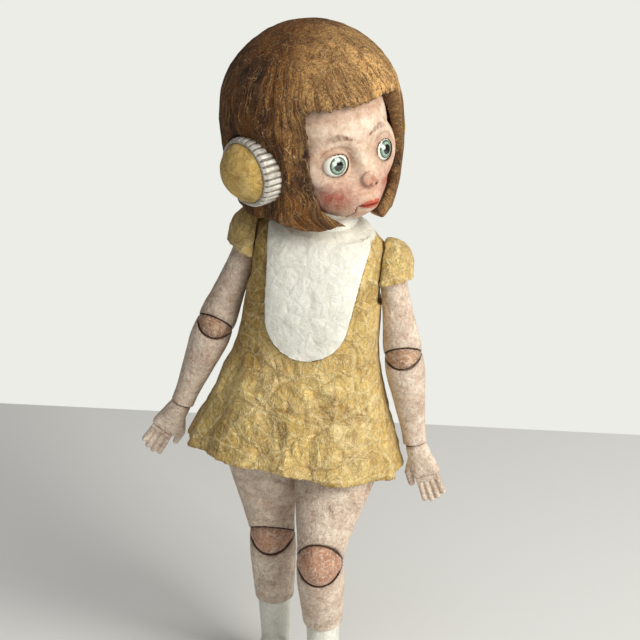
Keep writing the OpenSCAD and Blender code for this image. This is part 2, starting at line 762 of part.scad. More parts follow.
// Bore for the cord that joins the two arms through the body
module arm_bore(side) {
    body_frame() side_frame(side) translate([0, 0, shoulder_h]) rotate([0, 90, 0])
        cylinder(r = bore_r, h = shoulder_half + bore_r);
}
// Sleeve: an upright cap over the top of the arm, cut flat at the seam and square to the arm below
sleeve_wall = 1.6;
sleeve_low = sleeve_drop + 4;
arm_room = 0.4;
module sleeve(side) {
    keys = [
        [-sleeve_crown, 2], [-sleeve_crown + 0.7, 5], [-sleeve_crown * 0.72, 8.2],
        [-sleeve_crown * 0.3, sleeve_r - 1.4], [sleeve_drop * 0.3, sleeve_r - 0.8],
        [sleeve_low, sleeve_r + 0.4]
    ];
    color(dress_paper) difference() {
        body_frame() side_frame(side) translate([shoulder_half, 0, shoulder_h])
            turned(keys, -sleeve_crown, sleeve_low);
        body_frame() side_frame(side) translate([shoulder_half, 0, shoulder_h - sleeve_low])
            cylinder(r1 = sleeve_r - sleeve_wall, r2 = arm_top_r, h = sleeve_drop);
        arm_frame(side) {
            below(-sleeve_drop);
            translate([0, 0, -far]) cylinder(r = arm_top_r + arm_room, h = far);
            sphere(arm_top_r + arm_room);
        }
        seam_cut(side);
    }
}
module elbow_ball(side) {
    color(skin) arm_frame(side, upper_arm_len) slotted_ball(elbow_r, elbow_half, elbow_bend_max);
}
module forearm(side) {
    color(skin) arm_frame(side, upper_arm_len) difference() {
        turned(forearm_keys, -elbow_r, forearm_len);
        mirror([0, 0, 1]) socket_cut(elbow_r, elbow_half, elbow_wedge);
        translate([0, 0, -forearm_len - 1]) cylinder(r = wrist_peg_r + fit, h = wrist_peg_len + fit + 1);
        translate([0, 0, -forearm_len]) cylinder(r = bore_r, h = forearm_len);
    }
}

// Hands: a palm with a thumb, and a block of four fingers on a knuckle barrel
palm_r = 3;
knuckle_half = palm_half + finger_r;
thumb_r = 2.1;
module hand_frame(side) {
    arm_frame(side, upper_arm_len + forearm_len) rotate([0, -hand_splay, 0]) children();
}
module hand(side) {
    color(skin) difference() {
        union() {
            hand_frame(side) {
                hull() {
                    translate([0, 0, -2.5]) sphere(wrist_r - 0.6, $fn = 20);
                    for (x = [-palm_half, palm_half])
                        translate([x, 0, -palm_len + palm_r]) sphere(palm_r, $fn = 20);
                }
                hull() {
                    translate([-palm_half + 0.6, 0.6, -palm_len * 0.4]) sphere(thumb_r + 0.5, $fn = 16);
                    translate([-palm_half - 4.2, 0.9, -palm_len * 0.75]) sphere(thumb_r, $fn = 16);
                }
                hull() {
                    translate([-palm_half - 4.2, 0.9, -palm_len * 0.75]) sphere(thumb_r, $fn = 16);
                    translate([-palm_half - 4.6, 0.7, -palm_len * 1.05]) sphere(thumb_r - 0.3, $fn = 16);
                }
            }
            arm_frame(side, upper_arm_len + forearm_len) translate([0, 0, -3])
                cylinder(r = wrist_peg_r, h = wrist_peg_len + 3);
        }
        arm_frame(side, upper_arm_len + forearm_len) difference() {
            translate([-far, -far, -fit]) cube(2 * far);
            translate([0, 0, -far]) cylinder(r = wrist_peg_r, h = 2 * far);
        }
        arm_frame(side, upper_arm_len + forearm_len) cylinder(r = bore_r, h = far);
        hand_frame(side) translate([0, 0, -palm_len]) cross_pin(knuckle_r + fit, knuckle_half + fit);
        hand_frame(side) difference() {
            below(-palm_len);
            translate([-palm_half - far - palm_r / 2, -far, -far]) cube([far, 2 * far, 2 * far]);
        }
    }
}
module fingers(side) {
    pitch = 2 * palm_half / 2.9;
    lengths = [0.92, 1, 0.96, 0.8];
    color(skin) hand_frame(side) {
        translate([0, 0, -palm_len]) cross_pin(knuckle_r, knuckle_half);
        for (i = [0:3]) translate([(i - 1.5) * pitch, 0, -palm_len]) rotate([0, -2 * (i - 1.5), 0]) {
            translate([0, 0, -finger_len * lengths[i]]) cylinder(r = finger_r, h = finger_len * lengths[i]);
            translate([0, 0, -finger_len * lengths[i]]) sphere(finger_r);
        }
    }
}

// Legs
knee_rim_r = knee_half + rim_wall;
knee_r = knee_rim_r / cos(knee_wedge) - rim_step;
knee_bend_max = 34;
thigh_keys = [
    [-hip_r, 1], [0, hip_r], [hip_r * 0.45, hip_r + 2.2], [thigh_len * 0.22, thigh_r],
    [thigh_len * 0.36, thigh_r - 0.6], [thigh_len * 0.62, lerp(thigh_r, knee_rim_r, 0.55)],
    [thigh_len * 0.9, knee_rim_r + 0.3], [thigh_len, knee_rim_r], [2 * thigh_len, knee_rim_r]
];
shin_keys = [
    [-shin_len, knee_rim_r], [0, knee_rim_r], [shin_len * 0.3, calf_r],
    [shin_len * 0.65, lerp(calf_r, shin_end_r, 0.5)], [shin_len, shin_end_r]
];
hip_back = 33;
hip_forward = 42;
hip_slot_half = slot_half + 1.6;
module thigh(side) {
    color(skin) thigh_frame(side) difference() {
        union() {
            sphere(hip_r);
            turned(thigh_keys, 0, thigh_len + knee_r);
        }
        cord_slot(2 * hip_r, -hip_back, hip_forward, hip_slot_half);
        translate([0, 0, -thigh_len]) cylinder(r = bore_r, h = thigh_len);
        translate([0, 0, -thigh_len]) rotate([0, -thigh_slant, 0])
            socket_cut(knee_r, knee_half, knee_wedge);
    }
}
module knee_ball(side) {
    color(knee_skin) knee_frame(side) mirror([0, 1, 0]) slotted_ball(knee_r, knee_half, knee_bend_max);
}
module shin(side) {
    color(skin) shin_frame(side) difference() {
        turned(shin_keys, -knee_r, shin_len - 1);
        mirror([0, 0, 1]) socket_cut(knee_r, knee_half, knee_wedge);
        translate([0, 0, -shin_len]) sphere(ankle_r + fit);
        translate([0, 0, -shin_len]) cylinder(r = bore_r, h = shin_len);
    }
}

// Boots: a ball in the shin's end, a tapered shaft and a foot with a flat sole
heel_y = 5;
heel_r = foot_w / 2 - 2;
toe_r = min(foot_w / 2 - 0.3, toe_h - sole_h);
boot_sway = 22;
toe_y = foot_len - foot_w / 2 - heel_y - 3.5;
module boot(side) {
    shaft_keys = [
        [0, ankle_r], [ankle_h * 0.12, ankle_r], [ankle_h * 0.45, shaft_r + 0.4],
        [ankle_h * 0.68, shaft_r], [ankle_h * 0.85, shaft_r + 1.2], [ankle_h, shaft_r + 1.4]
    ];
    color(white_paper) translate(ankle_point(side)) difference() {
        union() {
            sphere(ankle_r);
            turned(shaft_keys, 0, ankle_h);
            translate([0, 0, -ankle_h]) {
                linear_extrude(sole_h) {
                    translate([0, heel_y]) circle(heel_r);
                    translate([0, -toe_y]) circle(foot_w / 2);
                    polygon([
                        [heel_r, heel_y], [foot_w / 2, -toe_y], [-foot_w / 2, -toe_y], [-heel_r, heel_y]
                    ]);
                }
                intersection() {
                    hull() {
                        translate([0, heel_y - 1, sole_h]) sphere(heel_r - 0.2, $fn = 24);
                        translate([0, -toe_y, sole_h]) sphere(toe_r, $fn = 24);
                        translate([0, -3, ankle_h * 0.38]) sphere(shaft_r, $fn = 24);
                    }
                    translate([-far, -far, sole_h / 2]) cube(2 * far);
                }
            }
        }
        mirror([0, 1, 0]) cord_slot(2 * ankle_r, -boot_sway, boot_sway, slot_half);
    }
}

// Elastic cords, each inside one rigid piece or run of pieces
neck_cord_len = 34;
toggle_h = 16;
toggle_r = 2;
toggle_half = 8;
hip_cord_top = 26;
module cord_run(from, to) {
    translate([0, 0, from]) cylinder(r = cord_r, h = to - from);
}
module neck_elastic() {
    color(elastic_white) neck_frame() cord_run(-neck_cord_len, neck_rise - cord_end);
}
module head_toggle() {
    color(elastic_white) head_frame() {
        cord_run(cord_end, toggle_h);
        translate([0, 0, toggle_h]) cross_pin(toggle_r, toggle_half);
    }
}
module arm_elastic() {
    half = shoulder_half - cord_end;
    color(elastic_white) body_frame() translate([0, 0, shoulder_h]) rotate([0, 90, 0])
        cord_run(-half, half);
}
module hip_elastic() {
    color(elastic_white) body_frame() for (side = [left, right])
        translate([side * hip_half, 0, 0]) cord_run(cord_end, hip_cord_top);
}
module upper_arm_cord(side) {
    color(elastic_white) arm_frame(side) cord_run(cord_end - upper_arm_len, -cord_end - bore_r);
}
module forearm_cord(side) {
    color(elastic_white) arm_frame(side, upper_arm_len)
        cord_run(wrist_peg_len + 2 * fit - forearm_len, -cord_end);
}
module thigh_cord(side) {
    color(elastic_white) thigh_frame(side) cord_run(cord_end - thigh_len, -cord_end);
}
module shin_cord(side) {
    color(elastic_white) shin_frame(side) cord_run(cord_end - shin_len, -cord_end);
}

dress();
bib();
pelvis();
collar();
head();
jaw();
hair();
eye(left);  // eye_left
eye(right);  // eye_right
ear_ring(left);  // ear_ring_left
ear_ring(right);  // ear_ring_right
ear_pad(left);  // ear_pad_left
ear_pad(right);  // ear_pad_right
upper_arm(left);  // upper_arm_left
upper_arm(right);  // upper_arm_right
sleeve(left);  // sleeve_left
sleeve(right);  // sleeve_right
elbow_ball(left);  // elbow_ball_left
elbow_ball(right);  // elbow_ball_right
forearm(left);  // forearm_left
forearm(right);  // forearm_right
hand(left);  // hand_left
hand(right);  // hand_right
fingers(left);  // fingers_left
fingers(right);  // fingers_right
thigh(left);  // thigh_left
thigh(right);  // thigh_right
knee_ball(left);  // knee_ball_left
knee_ball(right);  // knee_ball_right
shin(left);  // shin_left
shin(right);  // shin_right
boot(left);  // boot_left
boot(right);  // boot_right
neck_elastic();
head_toggle();
arm_elastic();
hip_elastic();
upper_arm_cord(left);  // upper_arm_cord_left
upper_arm_cord(right);  // upper_arm_cord_right
forearm_cord(left);  // forearm_cord_left
forearm_cord(right);  // forearm_cord_right
thigh_cord(left);  // thigh_cord_left
thigh_cord(right);  // thigh_cord_right
shin_cord(left);  // shin_cord_left
shin_cord(right);  // shin_cord_right
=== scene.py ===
import json
import math
from itertools import product

import bmesh
import bpy
import numpy as np
from mathutils import Matrix, Vector
from mathutils.bvhtree import BVHTree


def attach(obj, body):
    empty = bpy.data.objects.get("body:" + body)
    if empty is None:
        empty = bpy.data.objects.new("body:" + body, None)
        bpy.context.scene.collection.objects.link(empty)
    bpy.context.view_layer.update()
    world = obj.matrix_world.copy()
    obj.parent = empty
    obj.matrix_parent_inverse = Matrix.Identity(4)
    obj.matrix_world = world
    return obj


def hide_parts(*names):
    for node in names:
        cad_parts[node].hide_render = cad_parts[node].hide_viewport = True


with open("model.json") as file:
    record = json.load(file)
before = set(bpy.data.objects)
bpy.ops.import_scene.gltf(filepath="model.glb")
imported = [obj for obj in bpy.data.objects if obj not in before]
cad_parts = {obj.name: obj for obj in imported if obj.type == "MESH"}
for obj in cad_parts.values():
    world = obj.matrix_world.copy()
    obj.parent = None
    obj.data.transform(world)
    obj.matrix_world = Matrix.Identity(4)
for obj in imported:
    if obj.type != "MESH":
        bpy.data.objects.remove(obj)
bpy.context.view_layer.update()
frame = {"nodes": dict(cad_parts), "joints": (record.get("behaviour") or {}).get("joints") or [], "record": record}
nodes = frame["nodes"]
joints = {j["name"]: j for j in frame["joints"]}
slots = {s["node"]: s["material_slot"] for s in frame["record"]["subparts"]}
bodies = {n: b for b, names in frame["record"]["behaviour"]["bodies"].items() for n in names}

# Lengths are in millimetres, apart from what Blender itself is given
MM = 0.001
SIDES = ("left", "right")
# Clearance at the rims of a ball joint
FIT = 0.3
# A distance at which no joint line is painted
NO_LINE = 9.0


# Places and directions, read from the joints
def unit(v):
    v = np.asarray(v, float)
    return v / np.linalg.norm(v)


def at(name):
    return np.array(joints[name]["pos_m"]) / MM


def axis(name):
    return unit(joints[name]["axis"])


class Axes:
    """A piece's own origin and directions, to measure points of the piece in."""

    def __init__(self, origin, x, z):
        self.origin = np.asarray(origin, float)
        x = unit(x)
        z = unit(np.asarray(z, float) - x * np.dot(x, z))
        self.turn = np.stack([x, np.cross(z, x), z], axis=1)

    def local(self, points):
        return (points - self.origin) @ self.turn

    def world(self, points):
        return np.asarray(points, float) @ self.turn.T + self.origin


hips = (at("hip_swing_left") + at("hip_swing_right")) / 2
across = unit(at("hip_swing_left") - at("hip_swing_right"))
BODY = Axes(hips, across, np.cross(across, (0, 1, 0)))
NECK = Axes(at("head_turn"), across, axis("head_turn"))
# The head's axes are found from the jaw's pin, whose place in them is known
JAW_PIN = np.array([0, -16.5, 5.4])
pin_way = unit(at("jaw_open") - at("head_nod"))
pin_side = np.cross(axis("head_nod"), pin_way)
head_up = (JAW_PIN[2] * pin_way + JAW_PIN[1] * pin_side) / np.linalg.norm(JAW_PIN)
HEAD = Axes(at("head_nod"), axis("head_nod"), head_up)
ARM, HAND, THIGH, SHIN = {}, {}, {}, {}
for s in SIDES:
    shoulder, elbow, wrist = at(f"shoulder_swing_{s}"), at(f"elbow_bend_{s}"), at(f"wrist_turn_{s}")
    ARM[s] = Axes(elbow, -axis(f"elbow_bend_{s}"), shoulder - elbow)
    HAND[s] = Axes(wrist, axis(f"finger_curl_{s}"), wrist - at(f"finger_curl_{s}"))
    knee, ankle = at(f"knee_bend_{s}"), at(f"ankle_bend_{s}")
    THIGH[s] = Axes(knee, (1, 0, 0), at(f"hip_swing_{s}") - knee)
    SHIN[s] = Axes(knee, (1, 0, 0), knee - ankle)

# Numbers for the hand-made look: smooth noise on a lattice, the same on every run
LATTICE_START = 1000.0
OCTAVE_FADE = 0.55


def smooth(low, high, v):
    t = np.clip((np.asarray(v, float) - low) / (high - low), 0, 1)
    return t * t * (3 - 2 * t)


def lattice(i, j, k, seed):
    """A number from 0 to 1 for each whole-number place, mixed so that neighbours have nothing in common."""
    h = i.astype(np.uint32) * np.uint32(374761393) + j.astype(np.uint32) * np.uint32(668265263)
    h = h + k.astype(np.uint32) * np.uint32(2147483647) + np.uint32(seed * 974711 + 12345)
    h = (h ^ (h >> np.uint32(13))) * np.uint32(1274126177)
    h = (h ^ (h >> np.uint32(16))) * np.uint32(2246822519)
    return ((h ^ (h >> np.uint32(15))) & np.uint32(0xFFFFFF)).astype(float) / 0xFFFFFF


def noise(p, size, seed=0):
    """Smooth noise from -1 to 1 with lumps of about that size."""
    p = np.asarray(p, float) / size + LATTICE_START
    c = np.floor(p).astype(np.int64)
    f = p - c
    f = f * f * f * (f * (f * 6 - 15) + 10)
    total = np.zeros(len(p))
    for corner in product((0, 1), repeat=3):
        weight = np.where(corner, f, 1 - f).prod(axis=1)
        total += weight * lattice(*(c + corner).T, seed)
    return total * 2 - 1


def rough(p, size, seed=0, octaves=3):
    """Noise with finer and fainter noise laid over it."""
    total, weight = 0, 0
    for o in range(octaves):
        total = total + noise(p, size / 2**o, seed + o) * OCTAVE_FADE**o
        weight += OCTAVE_FADE**o
    return total / weight


def veins(p, size, width, seed=0):
    """Thin lines, 1 on the line, where smooth noise crosses its middle."""
    return 1 - smooth(0, width, np.abs(rough(p, size, seed, 2)))


def facets(p, size, seed=0):
    """Height over flat cells with straight edges, about that size: 0 on the edges, highest in the middle."""
    p = np.asarray(p, float) / size + LATTICE_START
    c = np.floor(p).astype(np.int64)
    first = np.full(len(p), np.inf)
    second = np.full(len(p), np.inf)
    for step in product((-1, 0, 1), repeat=3):
        cell = c + step
        spot = cell + np.stack([lattice(*cell.T, seed + k) for k in (0, 1, 2)], axis=1)
        far = np.linalg.norm(p - spot, axis=1)
        second = np.minimum(second, np.maximum(first, far))
        first = np.minimum(first, far)
    return second - first


# Meshes
def new_object(name, data):
    obj = bpy.data.objects.new(name, data)
    bpy.context.scene.collection.objects.link(obj)
    return obj


def new_mesh(name, bm):
    mesh = bpy.data.meshes.new(name)
    bm.to_mesh(mesh)
    bm.free()
    return mesh


def skin(name, voxel, relax=0, title=None):
    """A CAD piece copied as one even skin of small quads."""
    mesh = nodes[name].data.copy()
    bm = bmesh.new()
    bm.from_mesh(mesh)
    bmesh.ops.remove_doubles(bm, verts=bm.verts, dist=1e-6)
    bm.to_mesh(mesh)
    bm.free()
    obj = new_object(title or f"{name}_skin", mesh)
    even = obj.modifiers.new("even", "REMESH")
    even.mode = "VOXEL"
    even.voxel_size = voxel * MM
    even.use_smooth_shade = True
    if relax:
        soft = obj.modifiers.new("soft", "SMOOTH")
        soft.iterations = relax
    made = bpy.data.meshes.new_from_object(obj.evaluated_get(bpy.context.evaluated_depsgraph_get()))
    obj.modifiers.clear()
    obj.data = made
    return obj


def points(obj):
    co = np.empty(len(obj.data.vertices) * 3)
    obj.data.vertices.foreach_get("co", co)
    return co.reshape(-1, 3) / MM


def normals(obj):
    n = np.empty(len(obj.data.vertices) * 3)
    obj.data.vertices.foreach_get("normal", n)
    return n.reshape(-1, 3)


def place(obj, p):
    obj.data.vertices.foreach_set("co", (p * MM).ravel())
    obj.data.update()


def store(obj, name, values):
    """Keeps one number or three numbers for each point, for the material to read."""
    values = np.asarray(values, float)
    kind, field = ("FLOAT", "value") if values.ndim == 1 else ("FLOAT_VECTOR", "vector")
    layer = obj.data.attributes.new(name, kind, "POINT")
    layer.data.foreach_set(field, values.ravel())


def tree(*names):
    """The surface of some CAD pieces, to measure distances to."""
    bm = bmesh.new()
    for n in names:
        bm.from_mesh(nodes[n].data)
    made = BVHTree.FromBMesh(bm)
    bm.free()
    return made


def gap(p, surface, most):
    """Distance of each point to a surface, or most where it is further."""
    out = np.full(len(p), float(most))
    for i, v in enumerate(p * MM):
        found = surface.find_nearest(v, most * MM)
        if found[3] is not None:
            out[i] = found[3] / MM
    return out


def no_line(p):
    return np.full(len(p), NO_LINE)


def keep(obj, material, name):
    """The finished piece stands for this CAD piece and moves with it."""
    obj.data.materials.clear()
    obj.data.materials.append(material)
    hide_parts(name)
    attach(obj, bodies[name])


# Colours and materials
def linear(code):
    c = [int(code[i : i + 2], 16) / 255 for i in (1, 3, 5)]
    return [x / 12.92 if x <= 0.04045 else ((x + 0.055) / 1.055) ** 2.4 for x in c]


def paint(layers, count):
    """Colour of each point: a ground colour, then colours laid over it by their amounts."""
    base = np.tile(np.array(linear(layers[0])), (count, 1))
    for code, amount in layers[1:]:
        a = np.clip(amount, 0, 1)[:, None]
        base = base * (1 - a) + np.array(linear(code)) * a
    return base


def add(graph, kind, settings=None, **links):
    """One shader node of that kind with its settings, and a link, value or colour for each socket.
    A socket goes by its name, or by i and its number."""
    n = graph.nodes.new(f"ShaderNode{kind}")
    for k, v in (settings or {}).items():
        setattr(n, k, v)
    for k, v in links.items():
        numbered = k[0] == "i" and k[1:].isdigit()
        sock = n.inputs[int(k[1:])] if numbered else n.inputs[k.replace("_", " ")]
        if isinstance(v, bpy.types.NodeSocket):
            graph.links.new(v, sock)
        else:
            sock.default_value = (*linear(v), 1) if isinstance(v, str) else v
    return n.outputs


LAY = {"data_type": "RGBA"}
GLAZE = {"data_type": "RGBA", "blend_type": "MULTIPLY"}
STEP = {"interpolation_type": "SMOOTHSTEP"}
PLUS = {"operation": "ADD"}
MINUS = {"operation": "SUBTRACT"}
SIZE = {"operation": "ABSOLUTE"}
LENGTH = {"operation": "LENGTH"}
MULTIPLY_ADD = {"operation": "MULTIPLY_ADD"}
EDGES = {"feature": "DISTANCE_TO_EDGE"}


def material(name, roughness, sheen=0.0, coat=0.0, metallic=0.0, specular=0.3):
    m = bpy.data.materials.new(name)
    m.use_nodes = True
    bsdf = m.node_tree.nodes["Principled BSDF"]
    bsdf.inputs["Roughness"].default_value = roughness
    bsdf.inputs["Metallic"].default_value = metallic
    bsdf.inputs["Specular IOR Level"].default_value = specular
    bsdf.inputs["Sheen Weight"].default_value = sheen
    bsdf.inputs["Coat Weight"].default_value = coat
    return m, m.node_tree, bsdf


def paper(name, light, dark, fibre, line, mottle_mm, fibre_mm, bump, strength=0.55, strands=0.35,
          crease_mm=0.0, crease=1.0):
    """Layered mulberry paper, torn and pasted, then painted thin: matte, blotched, with long fibres
    that catch the paint. The painted ground comes from the piece's own points, and so do joint lines."""
    m, t, bsdf = material(name, 0.82, sheen=0.06, specular=0.25)
    co = add(t, "TexCoord")["Object"]
    tint = add(t, "Attribute", {"attribute_name": "tint"})["Vector"]
    # Blotches of paint, then a finer speckle
    blot = add(t, "TexNoise", Vector=co, Scale=1000 / mottle_mm, Detail=5.0, Roughness=0.62,
               Distortion=0.6)["Fac"]
    blot = add(t, "MapRange", Value=blot, i1=0.36, i2=0.66)[0]
    speck_mm = mottle_mm * 0.22
    speck = add(t, "TexNoise", Vector=co, Scale=1000 / speck_mm, Detail=4.0, Roughness=0.7)["Fac"]
    speck = add(t, "MapRange", Value=speck, i1=0.35, i2=0.7, i4=0.32)[0]
    shade = add(t, "Mix", LAY, i0=blot, i6=dark, i7=light)[2]
    colour = add(t, "Mix", GLAZE, i0=strength, i6=tint, i7=shade)[2]
    colour = add(t, "Mix", GLAZE, i0=speck, i6=colour, i7=dark)[2]
    # Fibres: thin lines where a warped noise crosses its middle, pale ones and darker ones
    height = speck
    kinds = ((0.0, fibre, 0.05, 1.0), (0.37, fibre, 0.035, 0.9), (0.71, line, 0.04, 0.9))
    for shift, code, width, much in kinds:
        moved = add(t, "Mapping", Vector=co, Location=(shift, shift * 0.7, shift * 1.3))[0]
        n = add(t, "TexNoise", Vector=moved, Scale=1000 / fibre_mm, Detail=2.0, Roughness=0.5,
                Distortion=1.6)["Fac"]
        off = add(t, "Math", MINUS, i0=n, i1=0.5)[0]
        off = add(t, "Math", SIZE, i0=off)[0]
        hair = add(t, "MapRange", STEP, Value=off, i1=0.0, i2=width, i3=much * strands, i4=0.0)[0]
        colour = add(t, "Mix", LAY, i0=hair, i6=colour, i7=code)[2]
        if code == fibre:
            height = add(t, "Math", PLUS, i0=height, i1=hair)[0]
    # Creases of a crushed sheet: straight folds up and down, paint gone from the high ones, and painted shade
    # along the low ones
    if crease_mm:
        warp = add(t, "TexNoise", Vector=co, Scale=700 / crease_mm, Detail=2.0)["Color"]
        bend = [crease_mm * 0.0007] * 3
        bent = add(t, "VectorMath", MULTIPLY_ADD, i0=warp, i1=bend, i2=co)[0]
        for size, high, low in ((1.0, 1.5, 0.0), (0.8, 0.0, 1.5), (0.42, 0.7, 0.0), (0.36, 0.0, 0.7)):
            cells = 1000 / (crease_mm * size)
            fold = add(t, "TexVoronoi", EDGES, Vector=bent, Scale=cells)[0]
            up = add(t, "MapRange", Value=fold, i1=0.0, i2=0.22, i3=high * crease,
                     i4=low * crease)[0]
            height = add(t, "Math", PLUS, i0=height, i1=up)[0]
            worn = add(t, "MapRange", STEP, Value=fold, i1=0.0, i2=0.035, i3=0.34 * crease,
                       i4=0.0)[0]
            # Pale where paint is worn off a high fold; painted shade, in the dark line colour, along a low fold
            colour = add(t, "Mix", LAY, i0=worn, i6=colour, i7=fibre if high else line)[2]
    # Dark line along each joint and where a piece meets the next
    rim = add(t, "Attribute", {"attribute_name": "rim"})["Fac"]
    rim = add(t, "MapRange", STEP, Value=rim, i1=0.2, i2=0.6, i3=0.92, i4=0.0)[0]
    colour = add(t, "Mix", LAY, i0=rim, i6=colour, i7="#2f1a10")[2]
    t.links.new(colour, bsdf.inputs["Base Color"])
    lift = add(t, "Bump", Strength=bump, Distance=0.0011, Height=height)[0]
    t.links.new(lift, bsdf.inputs["Normal"])
    return m


# Skin of thin mulberry paper painted in layers of pink, grey and brown; fibres about 5 mm apart
washi_skin = paper(
    "painted mulberry paper", "#fffaf2", "#a98467", "#fbf3e8", "#5d3d28",
    mottle_mm=7.0, fibre_mm=5.5, bump=0.45, strength=0.55, strands=0.34, crease_mm=13.0, crease=0.35,
)
# Face paper is smoother, with finer blotches
washi_face = paper(
    "burnished face paper", "#fffaf4", "#c4a188", "#f6ecdf", "#b8967f",
    mottle_mm=5.0, fibre_mm=9.0, bump=0.18, strength=0.6, strands=0.15,
)
# Dress of crumpled dyed paper: strong stains and long pale fibres
dress_paper = paper(
    "crumpled ochre paper", "#fff6d8", "#ad8436", "#f8eabb", "#7d5a1c",
    mottle_mm=15.0, fibre_mm=6.5, bump=0.8, strength=0.5, strands=0.34, crease_mm=26.0, crease=0.85,
)
# Bib, collar, boots and yoke of thick felted white paper
white_paper = paper(
    "felted white paper", "#ffffff", "#cfcec2", "#ffffff", "#c4c2b3",
    mottle_mm=10.0, fibre_mm=7.0, bump=0.3, strength=0.3, strands=0.2, crease_mm=19.0, crease=0.55,
)
# Pads of the ear pods: dyed paper rubbed dark
pad_paper = paper(
    "rubbed ochre paper", "#fff2cc", "#8b6c2c", "#ecd797", "#6f5626", mottle_mm=7.0, fibre_mm=6.0, bump=0.3
)


def hair_paper():
    """Matted plant fibre pasted in strands: dull, streaked along the strands from caramel to dark brown."""
    m, t, bsdf = material("pasted hair fibre", 0.72, sheen=0.03, specular=0.3)
    tint = add(t, "Attribute", {"attribute_name": "tint"})["Vector"]
    flow = add(t, "Attribute", {"attribute_name": "flow"})["Vector"]
    co = add(t, "TexCoord")["Object"]
    matted = add(t, "Attribute", {"attribute_name": "matted"})["Fac"]
    # Strand bundles about 3 mm wide with painted shade in the gaps between them, and strands about 1 mm wide
    bundle = add(t, "TexNoise", Vector=flow, Scale=0.34, Detail=2.0, Roughness=0.55)["Fac"]
    fine = add(t, "TexNoise", Vector=flow, Scale=0.95, Detail=3.0, Roughness=0.6)["Fac"]
    clump = add(t, "TexNoise", Vector=co, Scale=1000 / 7.0, Detail=4.0, Roughness=0.6,
                Distortion=0.8)["Fac"]
    bundle = add(t, "Mix", i0=matted, i2=bundle, i3=clump)[0]
    fluff = add(t, "TexNoise", Vector=co, Scale=1000 / 2.2, Detail=4.0, Roughness=0.7,
                Distortion=1.2)["Fac"]
    fine = add(t, "Mix", i0=matted, i2=fine, i3=fluff)[0]
    # Painted shade in the gaps between bundles, where the bump is lowest
    deep = add(t, "MapRange", STEP, Value=bundle, i1=0.36, i2=0.56, i3=0.6, i4=0.0)[0]
    colour = add(t, "Mix", GLAZE, i0=deep, i6=tint, i7="#7a4a2a")[2]
    light = add(t, "MapRange", STEP, Value=fine, i1=0.53, i2=0.68, i4=0.5)[0]
    colour = add(t, "Mix", LAY, i0=light, i6=colour, i7="#cfa05e")[2]
    thin = add(t, "MapRange", STEP, Value=fine, i1=0.34, i2=0.46, i3=0.75, i4=0.0)[0]
    colour = add(t, "Mix", GLAZE, i0=thin, i6=colour, i7="#694426")[2]
    # Stray fibres that lie across the strands
    high = add(t, "Math", PLUS, i0=bundle, i1=fine)[0]
    kinds = (
        (9.0, 0.014, 0.65, "#d8b586"),
        (6.0, 0.02, 0.5, "#c39d6a"),
        (5.0, 0.018, 0.55, "#351a08"),
        (3.4, 0.03, 0.4, "#5a3413"),
    )
    for size, width, much, code in kinds:
        n = add(t, "TexNoise", Vector=co, Scale=1000 / size, Detail=1.5, Roughness=0.5,
                Distortion=1.6)["Fac"]
        off = add(t, "Math", MINUS, i0=n, i1=0.5)[0]
        off = add(t, "Math", SIZE, i0=off)[0]
        stray = add(t, "MapRange", STEP, Value=off, i1=0.0, i2=width, i3=much, i4=0.0)[0]
        colour = add(t, "Mix", LAY, i0=stray, i6=colour, i7=code)[2]
        high = add(t, "Math", PLUS, i0=high, i1=stray)[0]
    t.links.new(colour, bsdf.inputs["Base Color"])
    lift = add(t, "Bump", Strength=0.8, Distance=0.0014, Height=high)[0]
    t.links.new(lift, bsdf.inputs["Normal"])
    return m


def ring_paint():
    """Card painted with dull silver: part metallic, greyer and rougher where it is rubbed."""
    m, t, bsdf = material("dull silver paint on card", 0.46, metallic=0.2, specular=0.5)
    co = add(t, "TexCoord")["Object"]
    tint = add(t, "Attribute", {"attribute_name": "tint"})["Vector"]
    worn = add(t, "TexNoise", Vector=co, Scale=1000 / 3.5, Detail=5.0, Roughness=0.65)["Fac"]
    much = add(t, "MapRange", Value=worn, i1=0.4, i2=0.7, i4=0.6)[0]
    colour = add(t, "Mix", GLAZE, i0=much, i6=tint, i7="#8a816f")[2]
    t.links.new(colour, bsdf.inputs["Base Color"])
    dull = add(t, "MapRange", Value=worn, i1=0.35, i2=0.7, i3=0.36, i4=0.62)[0]
    t.links.new(dull, bsdf.inputs["Roughness"])
    lift = add(t, "Bump", Strength=0.3, Distance=0.0003, Height=worn)[0]
    t.links.new(lift, bsdf.inputs["Normal"])
    return m


